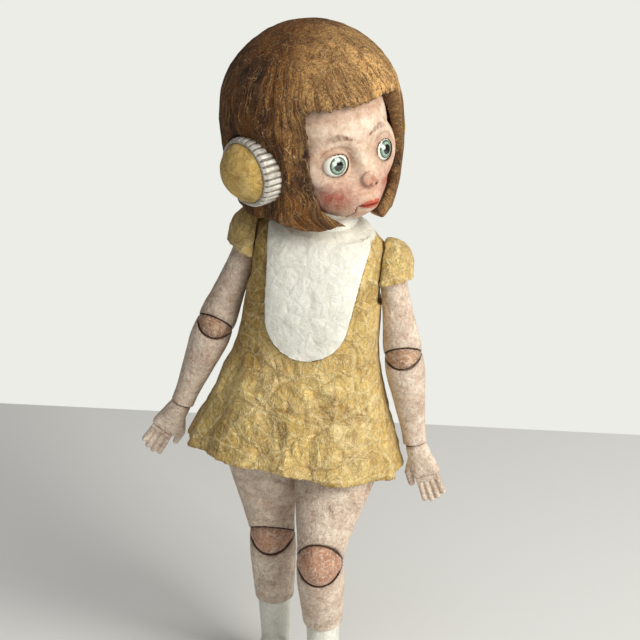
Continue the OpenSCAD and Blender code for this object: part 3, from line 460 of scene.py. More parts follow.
def eye_gloss():
    """Painted eye under thick clear varnish: sharp highlight, sage iris with a dark edge, large pupil, and painted
    shade on the white towards its edge.
    """
    m, t, bsdf = material("varnished painted eye", 0.12, coat=0.6, specular=0.5)
    bsdf.inputs["Coat Roughness"].default_value = 0.04
    iris = add(t, "Attribute", {"attribute_name": "iris"})["Vector"]
    parts = add(t, "SeparateXYZ", Vector=iris)
    flat = add(t, "CombineXYZ", X=parts[0], Y=parts[1], Z=0.0)[0]
    r = add(t, "VectorMath", LENGTH, i0=flat)["Value"]
    # Rays of the iris: noise stretched along the radius
    turn = add(t, "Math", {"operation": "ARCTAN2"}, i0=parts[1], i1=parts[0])[0]
    spoke = add(t, "CombineXYZ", X=turn, Y=r, Z=0.0)[0]
    spoke = add(t, "Mapping", Vector=spoke, Scale=(5.0, 0.35, 1.0))[0]
    rays = add(t, "TexNoise", Vector=spoke, Scale=1.6, Detail=2.0)["Fac"]
    green = add(t, "MapRange", Value=rays, i1=0.3, i2=0.7)[0]
    green = add(t, "Mix", LAY, i0=green, i6="#557565", i7="#b0c8b6")[2]
    ring = add(t, "MapRange", Value=r, i1=3.1, i2=3.9)[0]
    green = add(t, "Mix", LAY, i0=ring, i6=green, i7="#2e443b")[2]
    white = add(t, "MapRange", STEP, Value=r, i1=4.05, i2=4.35)[0]
    # Painted shade on the white, darker towards its edge under the lids
    shade = add(t, "MapRange", Value=r, i1=4.6, i2=8.2)[0]
    shade = add(t, "Mix", LAY, i0=shade, i6="#f0eee6", i7="#9c8474")[2]
    colour = add(t, "Mix", LAY, i0=white, i6=green, i7=shade)[2]
    pupil = add(t, "MapRange", STEP, Value=r, i1=2.2, i2=2.5, i3=1.0, i4=0.0)[0]
    colour = add(t, "Mix", LAY, i0=pupil, i6=colour, i7="#0d0b0a")[2]
    # Painted light, up and towards the doll's right in each eye
    away = add(t, "VectorMath", MINUS, i0=flat, i1=(-2.0, 1.5, 0.0))[0]
    away = add(t, "VectorMath", LENGTH, i0=away)["Value"]
    spark = add(t, "MapRange", STEP, Value=away, i1=0.7, i2=1.35, i3=0.9, i4=0.0)[0]
    colour = add(t, "Mix", LAY, i0=spark, i6=colour, i7="#e4efe8")[2]
    t.links.new(colour, bsdf.inputs["Base Color"])
    return m


def elastic():
    """White braided elastic: soft, with a fine slanted braid."""
    m, t, bsdf = material("braided elastic", 0.9, sheen=0.3)
    co = add(t, "TexCoord")["Object"]
    braid = {"bands_direction": "DIAGONAL"}
    a = add(t, "TexWave", braid, Vector=co, Scale=600.0, Distortion=0.4)["Fac"]
    colour = add(t, "Mix", LAY, i0=a, i6="#cfcabb", i7="#f3efe4")[2]
    t.links.new(colour, bsdf.inputs["Base Color"])
    lift = add(t, "Bump", Strength=0.4, Distance=0.0002, Height=a)[0]
    t.links.new(lift, bsdf.inputs["Normal"])
    return m


hair_fibre = hair_paper()
silver_paint = ring_paint()
eye_varnish = eye_gloss()
elastic_cord = elastic()

# Limbs: each keeps its CAD form, with the paper's small dents, blotches and joint lines
SKIN_GROUND = "#f3e7d9"
ELBOW_SLANT, KNEE_SLANT = 32, 36
ELBOW_HALF, KNEE_HALF = 8.4, 11
# How far a thigh's outer and inner sides stand out, and a ball's flat sides
THIGH_OUT = {"left": 8.0, "right": 3.0}
THIGH_IN = 0.9
BALL_OUT = 0.75


def cut_side(p, slant):
    """Distance over the slanted rim of a ball joint, from points measured at the ball's centre."""
    a = math.radians(slant)
    return (p[:, 2] - FIT - np.abs(p[:, 1]) * math.tan(a)) * math.cos(a)


def slanted(axes, slant, up):
    """The rim over a joint's ball, where up is 1, or under it, where up is -1."""
    return lambda p: np.abs(cut_side(axes.local(p) * (1, 1, up), slant))


def straight(axes, height, clear):
    """A rim straight across a limb, drawn thinner where clear is larger."""
    return lambda p: np.abs(axes.local(p)[:, 2] - height) + clear


def nearest(first, second):
    return lambda p: np.minimum(first(p), second(p))


def limb(name, voxel, rim, ground=SKIN_GROUND, warm=0.0, dents=0.22, swell=None, ball=None):
    """A limb's skin. Its joint lines are at the rim, and only close to the ball where one is named."""
    obj = skin(name, voxel, relax=2)
    p, n = points(obj), normals(obj)
    line = rim(p)
    if ball:
        line = np.maximum(line, gap(p, tree(ball), 3.0) - 0.2)
    if swell is not None:
        p = p + swell(p)
        place(obj, p)
        n = normals(obj)
    seed = sum(ord(c) for c in name)
    down = dents * (0.5 + 0.5 * rough(p, 5.0, seed)) + 0.12 * veins(p, 7.0, 0.12, seed + 9)
    place(obj, p - n * down[:, None])
    store(obj, "rim", line)
    stain = smooth(0.05, 0.6, rough(p, 16.0, seed + 3))
    grey = smooth(0.1, 0.6, rough(p, 11.0, seed + 5))
    pink = smooth(0.0, 0.6, rough(p, 13.0, seed + 7))
    layers = [
        ground,
        ("#a5825f", 0.4 * stain),
        ("#bfb5ab", 0.3 * grey),
        ("#d0a48c", (0.25 + warm) * pink),
        ("#7a5842", 0.35 * (1 - smooth(0.4, 3.0, line))),
    ]
    store(obj, "tint", paint(layers, len(p)))
    keep(obj, washi_skin, name)


def outer_thigh(p, s):
    """The full outer side of a thigh below the hem, which leans away from the middle as it rises."""
    side = 1 if s == "left" else -1
    q = THIGH[s].local(p)
    out = smooth(-8, 13, side * q[:, 0]) * np.clip((q[:, 2] - 4) / 44, 0, 1) * smooth(66, 52, q[:, 2])
    inner = smooth(2, 12, -side * q[:, 0]) * smooth(4, 26, q[:, 2]) * smooth(70, 54, q[:, 2])
    return np.outer(side * (THIGH_OUT[s] * out - THIGH_IN * inner), (1, 0, 0))


def flush(p, axes, half):
    """The flat sides of a joint ball, built up to the rims of the limbs beside it."""
    x = axes.local(p)[:, 0]
    return np.outer(BALL_OUT * np.sign(x) * smooth(half - 1.6, half - 0.3, np.abs(x)), axes.turn[:, 0])


for s in SIDES:
    elbow_ball, knee_ball = f"elbow_ball_{s}", f"knee_ball_{s}"
    over_elbow, under_elbow = slanted(ARM[s], ELBOW_SLANT, 1), slanted(ARM[s], ELBOW_SLANT, -1)
    over_knee, under_knee = slanted(THIGH[s], KNEE_SLANT, 1), slanted(SHIN[s], KNEE_SLANT, -1)
    forearm = np.linalg.norm(at(f"elbow_bend_{s}") - at(f"wrist_turn_{s}"))
    shin_end = SHIN[s].local(points(nodes[f"shin_{s}"]))[:, 2].min()
    limb(f"upper_arm_{s}", 0.55, over_elbow, ball=elbow_ball)
    limb(
        elbow_ball, 0.5, nearest(over_elbow, under_elbow),
        ground="#d2ae90", warm=0.2, swell=lambda p: flush(p, ARM[s], ELBOW_HALF),
    )
    limb(f"forearm_{s}", 0.55, nearest(under_elbow, straight(ARM[s], -forearm, 0.15)), ball=elbow_ball)
    limb(f"hand_{s}", 0.4, straight(HAND[s], 0, 0.15), dents=0.12)
    limb(f"fingers_{s}", 0.4, no_line, dents=0.12)
    limb(f"thigh_{s}", 0.65, over_knee, swell=lambda p: outer_thigh(p, s), ball=knee_ball)
    limb(
        knee_ball, 0.55, nearest(over_knee, under_knee),
        ground="#d6a88c", warm=0.35, swell=lambda p: flush(p, THIGH[s], KNEE_HALF),
    )
    limb(f"shin_{s}", 0.6, nearest(under_knee, straight(SHIN[s], shin_end, 0.1)), ball=knee_ball)

SHRUG = 4.5


def shrug(p):
    """The right shoulder of bodice, bib and sleeve sits a little higher than the left one."""
    q = BODY.local(p)
    high = BODY.local(at("shoulder_swing_right")[None])[0, 2]
    rise = SHRUG * smooth(-6, -27, q[:, 0]) * smooth(high - 40, high - 2, q[:, 2])
    return p + np.outer(rise, BODY.turn[:, 2])


# White pieces: boots, collar and bib
BIB_IN, BIB_UP = 1.4, 0.5


def white_piece(name, voxel, dents, rim, form=None):
    obj = skin(name, voxel, relax=2)
    p, n = points(obj), normals(obj)
    if form:
        p = form(p)
    seed = sum(ord(c) for c in name)
    place(obj, p - n * (dents * (0.5 + 0.5 * rough(p, 13.0, seed)))[:, None])
    store(obj, "rim", rim(p))
    grey = smooth(0.0, 0.6, rough(p, 12.0, seed + 2))
    warm = smooth(0.15, 0.7, rough(p, 18.0, seed + 4))
    store(obj, "tint", paint(["#f3f4ee", ("#cfcfc4", 0.35 * grey), ("#e0d8c4", 0.35 * warm)], len(p)))
    keep(obj, white_paper, name)


def bib_form(p):
    """The bib's top edge drawn in to the collar, and its side raised with the shoulder."""
    top = NECK.local(p)
    near = smooth(-2.8, -0.2, top[:, 2] - top[:, 2].max())
    inward = -top * (1, 1, 0) / np.hypot(top[:, 0], top[:, 1])[:, None] * BIB_IN + (0, 0, BIB_UP)
    return shrug(p + (near[:, None] * inward) @ NECK.turn.T)


for s in SIDES:
    white_piece(f"boot_{s}", 0.6, 0.35, no_line)
seat = tree("dress", "bib")
white_piece("collar", 0.45, 0.15, lambda p: gap(p, seat, 2.0) + 0.1)
white_piece("bib", 0.55, 1.0, no_line, bib_form)


# Dress and sleeves: pasted and crumpled, with soft dents, sharp creases and water-marked stains
def crumple(p, seed):
    """Height of crumpled paper: flat facets that meet in sharp creases, large ones and small ones."""
    q = p + 3.0 * np.stack([noise(p, 13.0, seed + k) for k in (1, 2, 3)], axis=1)
    broad = facets(q * (1, 1, 0.55), 17.0, seed) - facets(q * (1, 1, 0.7), 23.0, seed + 5)
    small = facets(q, 8.0, seed + 8) - facets(q, 6.0, seed + 12)
    return 1.7 * broad + 0.75 * small + 0.8 * noise(p, 24.0, seed + 15)


def ochre(p, low, seed):
    """Thin dye: pale ground, olive shade, brown tide lines round dried stains, darker hem."""
    field = rough(p, 30.0, seed)
    tide = 1 - smooth(0.0, 0.07, np.abs(field - 0.12))
    pool = smooth(0.1, 0.55, field)
    olive = smooth(0.0, 0.6, rough(p, 20.0, seed + 3))
    pale = smooth(0.05, 0.6, rough(p, 11.0, seed + 6))
    layers = [
        "#e8d190",
        ("#b69c4c", 0.55 * olive),
        ("#d6b45e", 0.4 * pool),
        ("#93691c", 0.7 * tide * smooth(-0.2, 0.5, rough(p, 9.0, seed + 9))),
        ("#f5e6b2", 0.5 * pale),
        ("#a67c2e", 0.5 * low),
    ]
    return paint(layers, len(p))


# The white yoke between bodice and collar: its half width, and its rise to the collar
YOKE_HALF = 27
YOKE_UP = 2.6
# Where the hem is, measured up from the hips
HEM = -12.5
# How much the dye is darkened by the painted shade on the bodice's right side
BODICE_SHADE = (0.55, 0.45, 0.2)


def dress_shell():
    dress = skin("dress", 0.85, relax=2, title="dress_paper_shell")
    p, n = points(dress), normals(dress)
    q, top = BODY.local(p), NECK.local(p)
    # Crumpled where no other piece lies against it, and most on the skirt
    sleeves = [f"sleeve_{s}" for s in SIDES]
    arms = [f"upper_arm_{s}" for s in SIDES]
    free = smooth(0.6, 3.5, gap(p, tree("bib", "collar", *sleeves, *arms, "pelvis"), 4.0))
    skirt = smooth(44, 30, q[:, 2])
    hem = smooth(-13, -3, q[:, 2])
    high = 0.75 * crumple(p, 31) * (0.5 + 0.45 * skirt) * free * (0.45 + 0.55 * hem)
    yoke = smooth(-2.2, -0.8, top[:, 2] - top[:, 2].max())
    yoke = yoke * smooth(YOKE_HALF, YOKE_HALF - 1.5, np.abs(top[:, 0])) * smooth(5, 3.5, top[:, 1])
    rise = YOKE_UP * yoke * smooth(25, 16, np.hypot(top[:, 0], top[:, 1]))
    place(dress, shrug(p) + np.outer(rise, NECK.turn[:, 2]) + n * high[:, None])
    # Dye, painted shade on the right side of the bodice, away from the light, and the white of the yoke
    dye = ochre(p, 1 - smooth(0.0, 2.0, q[:, 2] - HEM), 41)
    # Amount of painted shade, not rubbing, on the bodice's right side
    rubbed = 0.85 * smooth(-13, -24, q[:, 0]) * smooth(20, 60, q[:, 2])
    dye += rubbed[:, None] * (dye * BODICE_SHADE - dye)
    white = paint(["#f1f2ea", ("#cfcfc6", 0.4 * smooth(0.0, 0.6, rough(p, 9.0, 8)))], len(p))
    dye += yoke[:, None] * (white - dye)
    store(dress, "tint", dye)
    store(dress, "rim", gap(p, tree("bib", *sleeves), 2.0) + 0.1 + NO_LINE * yoke)
    keep(dress, dress_paper, "dress")
    dress.data.materials.append(white_paper)
    for poly in dress.data.polygons:
        poly.material_index = int(yoke[list(poly.vertices)].mean() > 0.5)


def sleeve_cap(s):
    sleeve = skin(f"sleeve_{s}", 0.5, relax=2)
    p, n = points(sleeve), normals(sleeve)
    beside = tree("dress", f"upper_arm_{s}")
    free = smooth(0.5, 2.0, gap(p, beside, 3.0))
    place(sleeve, shrug(p) + n * (0.7 * crumple(p, 57) * free)[:, None])
    store(sleeve, "tint", ochre(p, np.zeros(len(p)), 63))
    store(sleeve, "rim", gap(p, beside, 2.0) + 0.15)
    keep(sleeve, dress_paper, f"sleeve_{s}")


def pelvis_block():
    pelvis = skin("pelvis", 0.8, relax=2)
    p = points(pelvis)
    store(pelvis, "tint", ochre(p, np.zeros(len(p)), 71))
    store(pelvis, "rim", no_line(p))
    keep(pelvis, dress_paper, "pelvis")


dress_shell()
for s in SIDES:
    sleeve_cap(s)
pelvis_block()

# Face: the CAD skull with cheeks, lids, nose and lips drawn out of it, all in the head's own axes
EYE_R = 8.0
EYES = {"left": np.array([13.5, -23.6, 30.4]), "right": np.array([-11.9, -25.0, 30.4])}
# Degrees that each eye looks to the doll's left and up
GAZE = {"left": (17, 5.5), "right": (-4, 5.0)}
# The opening between the lids: its direction, and half its width and height as angles
LID_WAY = {"left": unit((0.25, -1, 0.06)), "right": unit((-0.08, -1, 0.09))}
LID_HALF = {"left": math.radians(37), "right": math.radians(52)}
LID_HIGH = math.radians(36)
LID_STEPS = 48
LID_FOLD = 2.7
MOUTH, MOUTH_HALF = 10.4, 5.4
# How far out each form stands, its middle and its spread; those beside the middle are on both sides
FACE_FORMS = {
    "muzzle": (3.8, (0, -34, 9.5), (6.0, 9, 4.6)),
    "lower bridge of the nose": (0.9, (0, -34, 24), (3.2, 9, 5.0)),
    "upper bridge of the nose": (0.8, (0, -34, 31), (2.6, 9, 5)),
    "middle of the face": (1.8, (0, -34, 19), (7, 9, 6)),
    "flatter tip of the nose": (-4.6, (0, -41, 22.0), (3.6, 4.6, 3.6)),
    "wings of the nose": (0.9, (2.7, -36, 20.3), (1.1, 4, 1.2)),
    "chin": (0.9, (0, -32, 3.6), (4.5, 9, 2.6)),
    "cheeks": (1.3, (15, -28, 14.5), (7, 12, 6.5)),
    "inner corners of the eyes": (-0.3, (6.3, -33, 29), (2.6, 9, 5)),
    "brows": (0.7, (12, -31, 43), (8, 12, 3)),
    "nostrils": (-0.9, (1.7, -39, 19.4), (0.75, 3, 0.7)),
    "groove over the lip": (-0.5, (0, -36, 14.6), (1.0, 9, 1.6)),
    "corners of the mouth": (-0.5, (5.2, -35, 10.2), (0.9, 6, 1.0)),
}
BROW = [(19.0, 41.0), (15.0, 43.0), (11.0, 44.0), (8.0, 43.2), (5.2, 42.0)]


def hump(q, centre, spread):
    d = (q - np.array(centre)) / np.array(spread)
    return np.exp(-0.5 * (d * d).sum(axis=1))


def ridge(v, width):
    """A soft ridge, 1 where v is 0."""
    return np.exp(-((v / width) ** 2))


def lip_lines(x):
    """Heights of the upper lip's edge and the lower lip's edge over the mouth's width."""
    t = np.clip(np.abs(x) / MOUTH_HALF, 0, 1)
    top = MOUTH + 2.3 * np.sqrt(1 - t**1.6) - 0.6 * ridge(x, 0.8) + 0.1
    low = MOUTH - 1.9 * np.sqrt(1 - t**2)
    return top, low


def lid_places(q, s):
    """Angle from the eye's opening direction and turn round it, for points seen from the eye's middle."""
    look = Axes(EYES[s], np.cross(LID_WAY[s], (0, 0, -1)), LID_WAY[s])
    d = look.local(q)
    r = np.linalg.norm(d, axis=1)
    turn = np.arctan2(d[:, 1], d[:, 0])
    goal = 1 / np.hypot(np.cos(turn) / LID_HALF[s], np.sin(turn) / LID_HIGH)
    return look, r, np.arccos(np.clip(d[:, 2] / r, -1, 1)), turn, goal


def lid_edge(q, s):
    """How far open the bare socket is, for each step of a turn round the eye."""
    _, r, wide, turn, _ = lid_places(q, s)
    step = ((turn + math.pi) / (2 * math.pi) * LID_STEPS).astype(int) % LID_STEPS
    edge = np.full(LID_STEPS, np.nan)
    for i in range(LID_STEPS):
        here = (r < EYE_R + 2.5) & (step == i)
        if here.any():
            edge[i] = wide[here].min()
    known = np.where(~np.isnan(edge))[0]
    edge = np.interp(np.arange(LID_STEPS), known, edge[known], period=LID_STEPS)
    return sum(np.roll(edge, k) for k in (-2, -1, 0, 1, 2)) / 5


def lid_margin(q, s):
    """Distance from the edge of the closed opening, and how high round the eye, from -1 to 1."""
    _, r, wide, turn, goal = lid_places(q, s)
    return (wide - goal) * EYE_R + np.maximum(r - EYE_R - 2, 0), np.sin(turn)


def close_lids(q, edges):
    """Draws the skin round each eye over the ball, down to an almond opening."""
    out = q.copy()
    for s in SIDES:
        look, r, wide, turn, goal = lid_places(out, s)
        step = (turn + math.pi) / (2 * math.pi) * LID_STEPS - 0.5
        edge = np.interp(step, np.arange(LID_STEPS), edges[s], period=LID_STEPS)
        near = smooth(6.5, 2.8, r - EYE_R)
        moved = wide - np.maximum(edge - goal, -0.45) * smooth(0.9, 0.0, wide - edge) * near
        r = r + smooth(0.75, 0.05, moved - goal) * near * (EYE_R + 0.45 - r)
        r = np.where(moved < 1.5, np.maximum(r, EYE_R + 0.15), r)
        flat = np.stack([np.sin(moved) * np.cos(turn), np.sin(moved) * np.sin(turn), np.cos(moved)], axis=1)
        out = np.where((near > 0)[:, None], look.world(flat * r[:, None]), out)
    return out


def face_form(q):
    """Where a point of the skull goes to make the face."""
    out = q.copy()
    front = smooth(-12, -22, q[:, 1])
    x, z = q[:, 0], q[:, 2]
    push = np.zeros(len(q))
    for amount, (side, y, height), spread in FACE_FORMS.values():
        for middle in sorted({side, -side}):
            push += amount * hump(q, (middle, y, height), spread)
    top, low = lip_lines(x)
    wide = smooth(MOUTH_HALF + 0.8, MOUTH_HALF - 1.2, np.abs(x))
    push += 0.85 * wide * ridge(z - (top + MOUTH) / 2, 1.15)
    push += 0.95 * wide * ridge(z - (low + MOUTH) / 2, 1.2)
    push -= 0.5 * wide * ridge(z - MOUTH, 0.45)
    out[:, 1] -= push * front
    # Nose and mouth sit a little to the doll's left
    out[:, 0] += 2.4 * hump(q, (0, -40, 21.0), (4.2, 7, 4.0)) + 1.6 * hump(q, (0, -37, 10), (5, 6, 4))
    # Fold over each upper lid
    for s in SIDES:
        from_edge, high = lid_margin(q, s)
        out[:, 1] += 0.5 * ridge(from_edge - LID_FOLD, 0.6) * smooth(0.2, 0.8, high) * front
    return out


def stroke(q, line, width):
    """A brush line through points given as x and z: 1 on the line, thinner at its ends."""
    best = np.zeros(len(q))
    line = np.array(line, float)
    for i in range(len(line) - 1):
        a, b = line[i], line[i + 1]
        t = np.clip(((q[:, [0, 2]] - a) @ (b - a)) / ((b - a) @ (b - a)), 0, 1)
        d = np.linalg.norm(q[:, [0, 2]] - (a + t[:, None] * (b - a)), axis=1)
        along = (i + t) / (len(line) - 1)
        w = width * (0.35 + 0.65 * np.sin(math.pi * np.clip(along, 0.08, 0.92)))
        best = np.maximum(best, 1 - smooth(0.35, 1.0, d / w))
    return best


def lid_paint(q):
    """Amounts of shade round the eyes, dark lash line and crease over the lids."""
    shade, lash, crease = np.zeros((3, len(q)))
    for s in SIDES:
        from_edge, high = lid_margin(q, s)
        up = smooth(-0.3, 0.3, high)
        shade = np.maximum(shade, (1 - smooth(0.3, 4.5, from_edge)) * (0.4 + 0.25 * up))
        lash = np.maximum(lash, (1 - smooth(0.1, 0.5 + 0.45 * up, from_edge)) * (0.75 + 0.25 * up))
        crease = np.maximum(crease, ridge(from_edge - LID_FOLD, 0.4) * smooth(0.25, 0.7, high))
    return shade, lash, crease


def face_paint(q, hair_gap):
    x, z = q[:, 0], q[:, 2]
    front = smooth(-16, -24, q[:, 1])
    # Measured from the middle for what is on both sides
    m = np.stack([np.abs(x), q[:, 1], z], axis=1)
    blush = hump(m, (14.8, -29, 14.2), (6.8, 12, 5.4)) * (0.9 + 0.15 * rough(q, 3.0, 5))
    top, low = lip_lines(x)
    lips = smooth(-0.25, 0.35, np.minimum(top - z, z - low))
    lips = lips * smooth(MOUTH_HALF + 0.4, MOUTH_HALF - 0.2, np.abs(x))
    brow = stroke(m, BROW, 2.1) * smooth(21, 9, m[:, 0])
    brow = brow * (0.8 + 0.45 * noise(q * (1, 1, 0.5), 1.2, 3))
    shade, lash, crease = lid_paint(q)
    layers = [
        "#ecdccb",
        # Painted highlight: the middle of the forehead lighter, where the light falls
        ("#f6ecdf", 0.7 * hump(q, (0, -34, 48), (14, 14, 7)) * front),
        ("#cfae94", 0.55 * smooth(0.0, 0.55, rough(q, 9.0, 17))),
        ("#bfa08a", 0.35 * smooth(0.05, 0.55, rough(q, 4.5, 23))),
        # Painted shade under the edge of the hair
        ("#b98a6e", 0.45 * (1 - smooth(0.6, 4.0, hair_gap))),
        ("#b08a74", shade * front),
        ("#b2533c", blush * front),
        # Nose, chin and groove over the lip
        ("#b8735c", 0.8 * hump(q, (-0.9, -40, 21.4), (3.6, 6, 3.0))),
        ("#d89a83", 0.5 * hump(q, (0, -33, 5.2), (5, 9, 2.6)) * front),
        ("#cf9a80", 0.4 * hump(m, (0, -37, 15), (4, 6, 2.5))),
        ("#75543f", 0.85 * brow * front),
        ("#96705a", 0.6 * crease * front),
        # Lips, the line between them and the light on the lower one
        ("#cf5a43", 0.9 * lips * front),
        ("#a8402f", 0.7 * lips * ridge(z - MOUTH, 0.7) * front),
        ("#e88f78", 0.5 * hump(q, (0.6, -39, 9.2), (1.8, 5, 0.6))),
        # Nostrils and lash line
        ("#6d3a2b", 0.95 * hump(m, (1.8, -41, 19.6), (0.9, 9, 0.65))),
        ("#2a1913", 0.95 * lash * front),
    ]
    return paint(layers, len(q))


def finer_front(obj):
    """Halves the quads of the face, which has finer forms than the rest of the head."""
    q = HEAD.local(points(obj))
    near = (q[:, 1] < -14) & (np.abs(q[:, 0]) < 25) & (q[:, 2] > -2) & (q[:, 2] < 50)
    bm = bmesh.new()
    bm.from_mesh(obj.data)
    bm.verts.ensure_lookup_table()
    edges = [e for e in bm.edges if near[e.verts[0].index] and near[e.verts[1].index]]
    bmesh.ops.subdivide_edges(bm, edges=edges, cuts=1, use_grid_fill=True, smooth=0.0)
    bm.to_mesh(obj.data)
    bm.free()
    for poly in obj.data.polygons:
        poly.use_smooth = True


def face_piece(obj, name, other, edges):
    p = points(obj)
    q = close_lids(HEAD.local(p), edges)
    place(obj, HEAD.world(face_form(q)))
    store(obj, "tint", face_paint(q, gap(p, tree("hair"), 6.0)))
    store(obj, "rim", gap(p, tree(other), 2.0) + 0.2)
    keep(obj, washi_face, name)


def eye_ball(s):
    """A ball with a flat back, turned to where the eye looks."""
    az, el = (math.radians(v) for v in GAZE[s])
    way = np.array([math.sin(az) * math.cos(el), -math.cos(az) * math.cos(el), math.sin(el)])
    look = Axes(EYES[s], np.cross(way, (0, 0, -1)), way)
    bm = bmesh.new()
    bmesh.ops.create_uvsphere(bm, u_segments=72, v_segments=64, radius=(EYE_R - 0.03) * MM)
    mesh = new_mesh(f"eye_{s}_ball", bm)
    for poly in mesh.polygons:
        poly.use_smooth = True
    eye = new_object(f"eye_{s}_ball", mesh)
    ball = points(eye)
    formed = look.world(ball)
    formed[:, 1] = np.minimum(formed[:, 1], EYES[s][1] + EYE_R * 0.3)
    store(eye, "iris", ball)
    place(eye, HEAD.world(formed))
    keep(eye, eye_varnish, f"eye_{s}")


skull = skin("head", 0.72, relax=1)
finer_front(skull)
lid_edges = {s: lid_edge(HEAD.local(points(skull)), s) for s in SIDES}
face_piece(skull, "head", "jaw", lid_edges)
face_piece(skin("jaw", 0.4, relax=1), "jaw", "head", lid_edges)
for s in SIDES:
    eye_ball(s)

# Hair: matted strands that fall from the crown, with lumps, grooves and lock tips that curl to the chin
HAIR_MID = np.array([0, 7.7, 43.8])
HAIR_R = 43.8
FRINGE_UP, FRINGE_RAGGED = 4.5, 1.3
LOCK_GAP = 0.4


def strands(q):
    """For each point of the hair: the way out from its middle, a place among the strands, how matted."""
    d = q - HAIR_MID
    r = np.linalg.norm(d, axis=1)
    turn = np.arctan2(d[:, 0], -d[:, 1]) + 0.1 * rough(q, 24.0, 3) + 0.02 * noise(q, 7.0, 9)
    fall = np.arccos(np.clip(d[:, 2] / r, -1, 1)) * HAIR_R - np.minimum(d[:, 2], 0) * 0.3
    flow = np.stack([np.cos(turn) * HAIR_R, np.sin(turn) * HAIR_R, fall / 10], axis=1)
    return d / r[:, None], flow, smooth(54, 26, fall + 16 * rough(q, 12.0, 33))


def hair_form(q, way, flow, matted, outward, fringe):
    x, y, z = q.T
    strand = (0.6 * noise(flow, 2.6, 11) + 0.5 * noise(flow, 1.4, 12)) * (1 - matted)
    strand = strand + 0.5 * rough(q, 4.0, 17) * matted
    lump = 0.6 * rough(q, 15.0, 14) + 0.5 * rough(flow, 5.0, 15) * (1 - matted)
    out = q + way * (outward * (0.45 * strand + 0.45 * lump))[:, None]
    # Fringe cut a little higher, and locks that close in on the face
    out[:, 2] += fringe * (FRINGE_UP + FRINGE_RAGGED * noise(flow * (1, 1, 0), 2.2, 44))
    out[:, 0] += 2.6 * smooth(-9, -18, y) * smooth(56, 46, z) * smooth(-35, -28, x) * (x < 0)
    tip = smooth(14, 1, z) * smooth(-8, -19, y)
    out[:, 2] -= 4.5 * tip
    out[:, 0] += np.where(x < 0, 6.5, -4.5) * tip**2
    out[:, 1] -= np.where(x < 0, 4.0, 1.5) * tip**2
    # Hollow round the ear pods
    beside = np.hypot(y - np.where(x < 0, -0.5, 7.0), z - 27.5)
    out[:, 0] -= np.sign(x) * 2.2 * smooth(25, 17.5, beside) * smooth(33, 37, np.abs(x))
    return out


def fill_lock(placed, q, outward):
    """The lock on the doll's left fills in against the temple and, less so, the cheek."""
    x, y, z = q.T
    most = 0.55 + 0.45 * smooth(38, 52, z)
    fill = most * (1 - outward) * smooth(-6, -14, y) * smooth(66, 60, z) * (x > 8)
    face = tree("head")
    for i in np.where(fill > 0.05)[0]:
        spot, _, _, far = face.find_nearest(placed[i] * MM)
        share = max(far / MM - LOCK_GAP, 0) / (far / MM + 1e-6)
        placed[i] += (np.array(spot) / MM - placed[i]) * fill[i] * share
    return placed


def hair_tint(q, facing, flow, matted, outward, fringe):
    x, y, z = q.T
    # Painted light: the hair lighter towards the front, the top and the doll's left, where the light falls; dark
    # streaks and patches fade there and are stronger, as painted shade, on the other side
    painted_light_side = smooth(-2, 36, -y + 0.15 * (z - 40) + 0.5 * x)
    streak = smooth(0.0, 0.5, noise(flow, 3.4, 21) + 0.4 * noise(flow, 8.0, 22)) * (1 - 0.7 * matted)
    patch = smooth(0.0, 0.5, rough(q * (1, 1, 0.6), 14.0, 24))
    speck = smooth(0.05, 0.55, rough(q, 7.0, 26))
    # Painted shade on the undersides, and the darker cut front of the lock on the doll's left
    under = np.maximum(1 - outward, fringe * smooth(-0.2, -0.8, facing[:, 2]))
    cut = smooth(0.3, 0.8, -facing[:, 1]) * smooth(14, 24, x) * smooth(56, 48, z)
    layers = [
        "#794a12",
        ("#eabb78", 0.95 * painted_light_side),
        ("#4a2610", 0.75 * streak * (1 - 0.55 * painted_light_side)),
        ("#38180a", 0.9 * patch * (1 - 0.6 * painted_light_side)),
        ("#c79c66", 0.4 * speck * (0.4 + 0.6 * painted_light_side)),
        ("#4a2812", 0.75 * under),
        ("#5a3417", 0.75 * cut),
    ]
    return paint(layers, len(q))


def hair_bob():
    hair = skin("hair", 0.7, relax=2, title="hair_bob")
    q, facing = HEAD.local(points(hair)), normals(hair) @ HEAD.turn
    x, y, z = q.T
    way, flow, matted = strands(q)
    outward = smooth(0.1, 0.5, (facing * way).sum(axis=1))
    fringe = smooth(-9, -18, y) * smooth(70, 55, z) * smooth(48, 52, z) * smooth(31, 26, np.abs(x))
    formed = hair_form(q, way, flow, matted, outward, fringe)
    place(hair, fill_lock(HEAD.world(formed), q, outward))
    store(hair, "flow", flow)
    store(hair, "matted", 0.85 * matted)
    store(hair, "tint", hair_tint(q, facing, flow, matted, outward, fringe))
    keep(hair, hair_fibre, "hair")


hair_bob()

# Ear pods: fluted silver ring with dark grooves, and a rubbed pad in it, with painted shade where ring and pad
# meet; the right pod leans to the front
FLUTES = 32
POD_DEPTH = 10
POD_GROW = 1.04
POD_SHIFT = {"left": 3.5, "right": -4.0}
LEFT_POD_IN = 1.2


def flutes(y, z):
    return smooth(0.2, 0.9, np.cos(FLUTES * np.arctan2(z, y)))


def pod_form(q, mid, s, is_pad):
    """Where a point of a pod goes, and its distance from the pod's middle line: flutes of the ring run out to
    the front edge, the pad's rim flares, and the right pod sits and leans forward."""
    side = 1 if s == "left" else -1
    x, y, z = (q - mid).T
    wide = np.hypot(y, z)
    deep = side * x / POD_DEPTH + 0.5
    if is_pad:
        flare = smooth(0.75, 1.0, deep)
        grow = POD_GROW + 0.1 * flare
        rise = 0.3 * flare
    else:
        grow = POD_GROW - 0.045 * flutes(y, z) * smooth(14.6, 15.4, wide) * smooth(0.62, 0.74, deep)
        rise = 0
    if s == "left":
        rise = rise - LEFT_POD_IN
    else:
        rise = rise + np.maximum(deep, 0) * (0.8 + 0.14 * y)
    out = mid + np.stack([x + side * rise, y * grow + POD_SHIFT[s], z * grow], axis=1)
    return out, wide


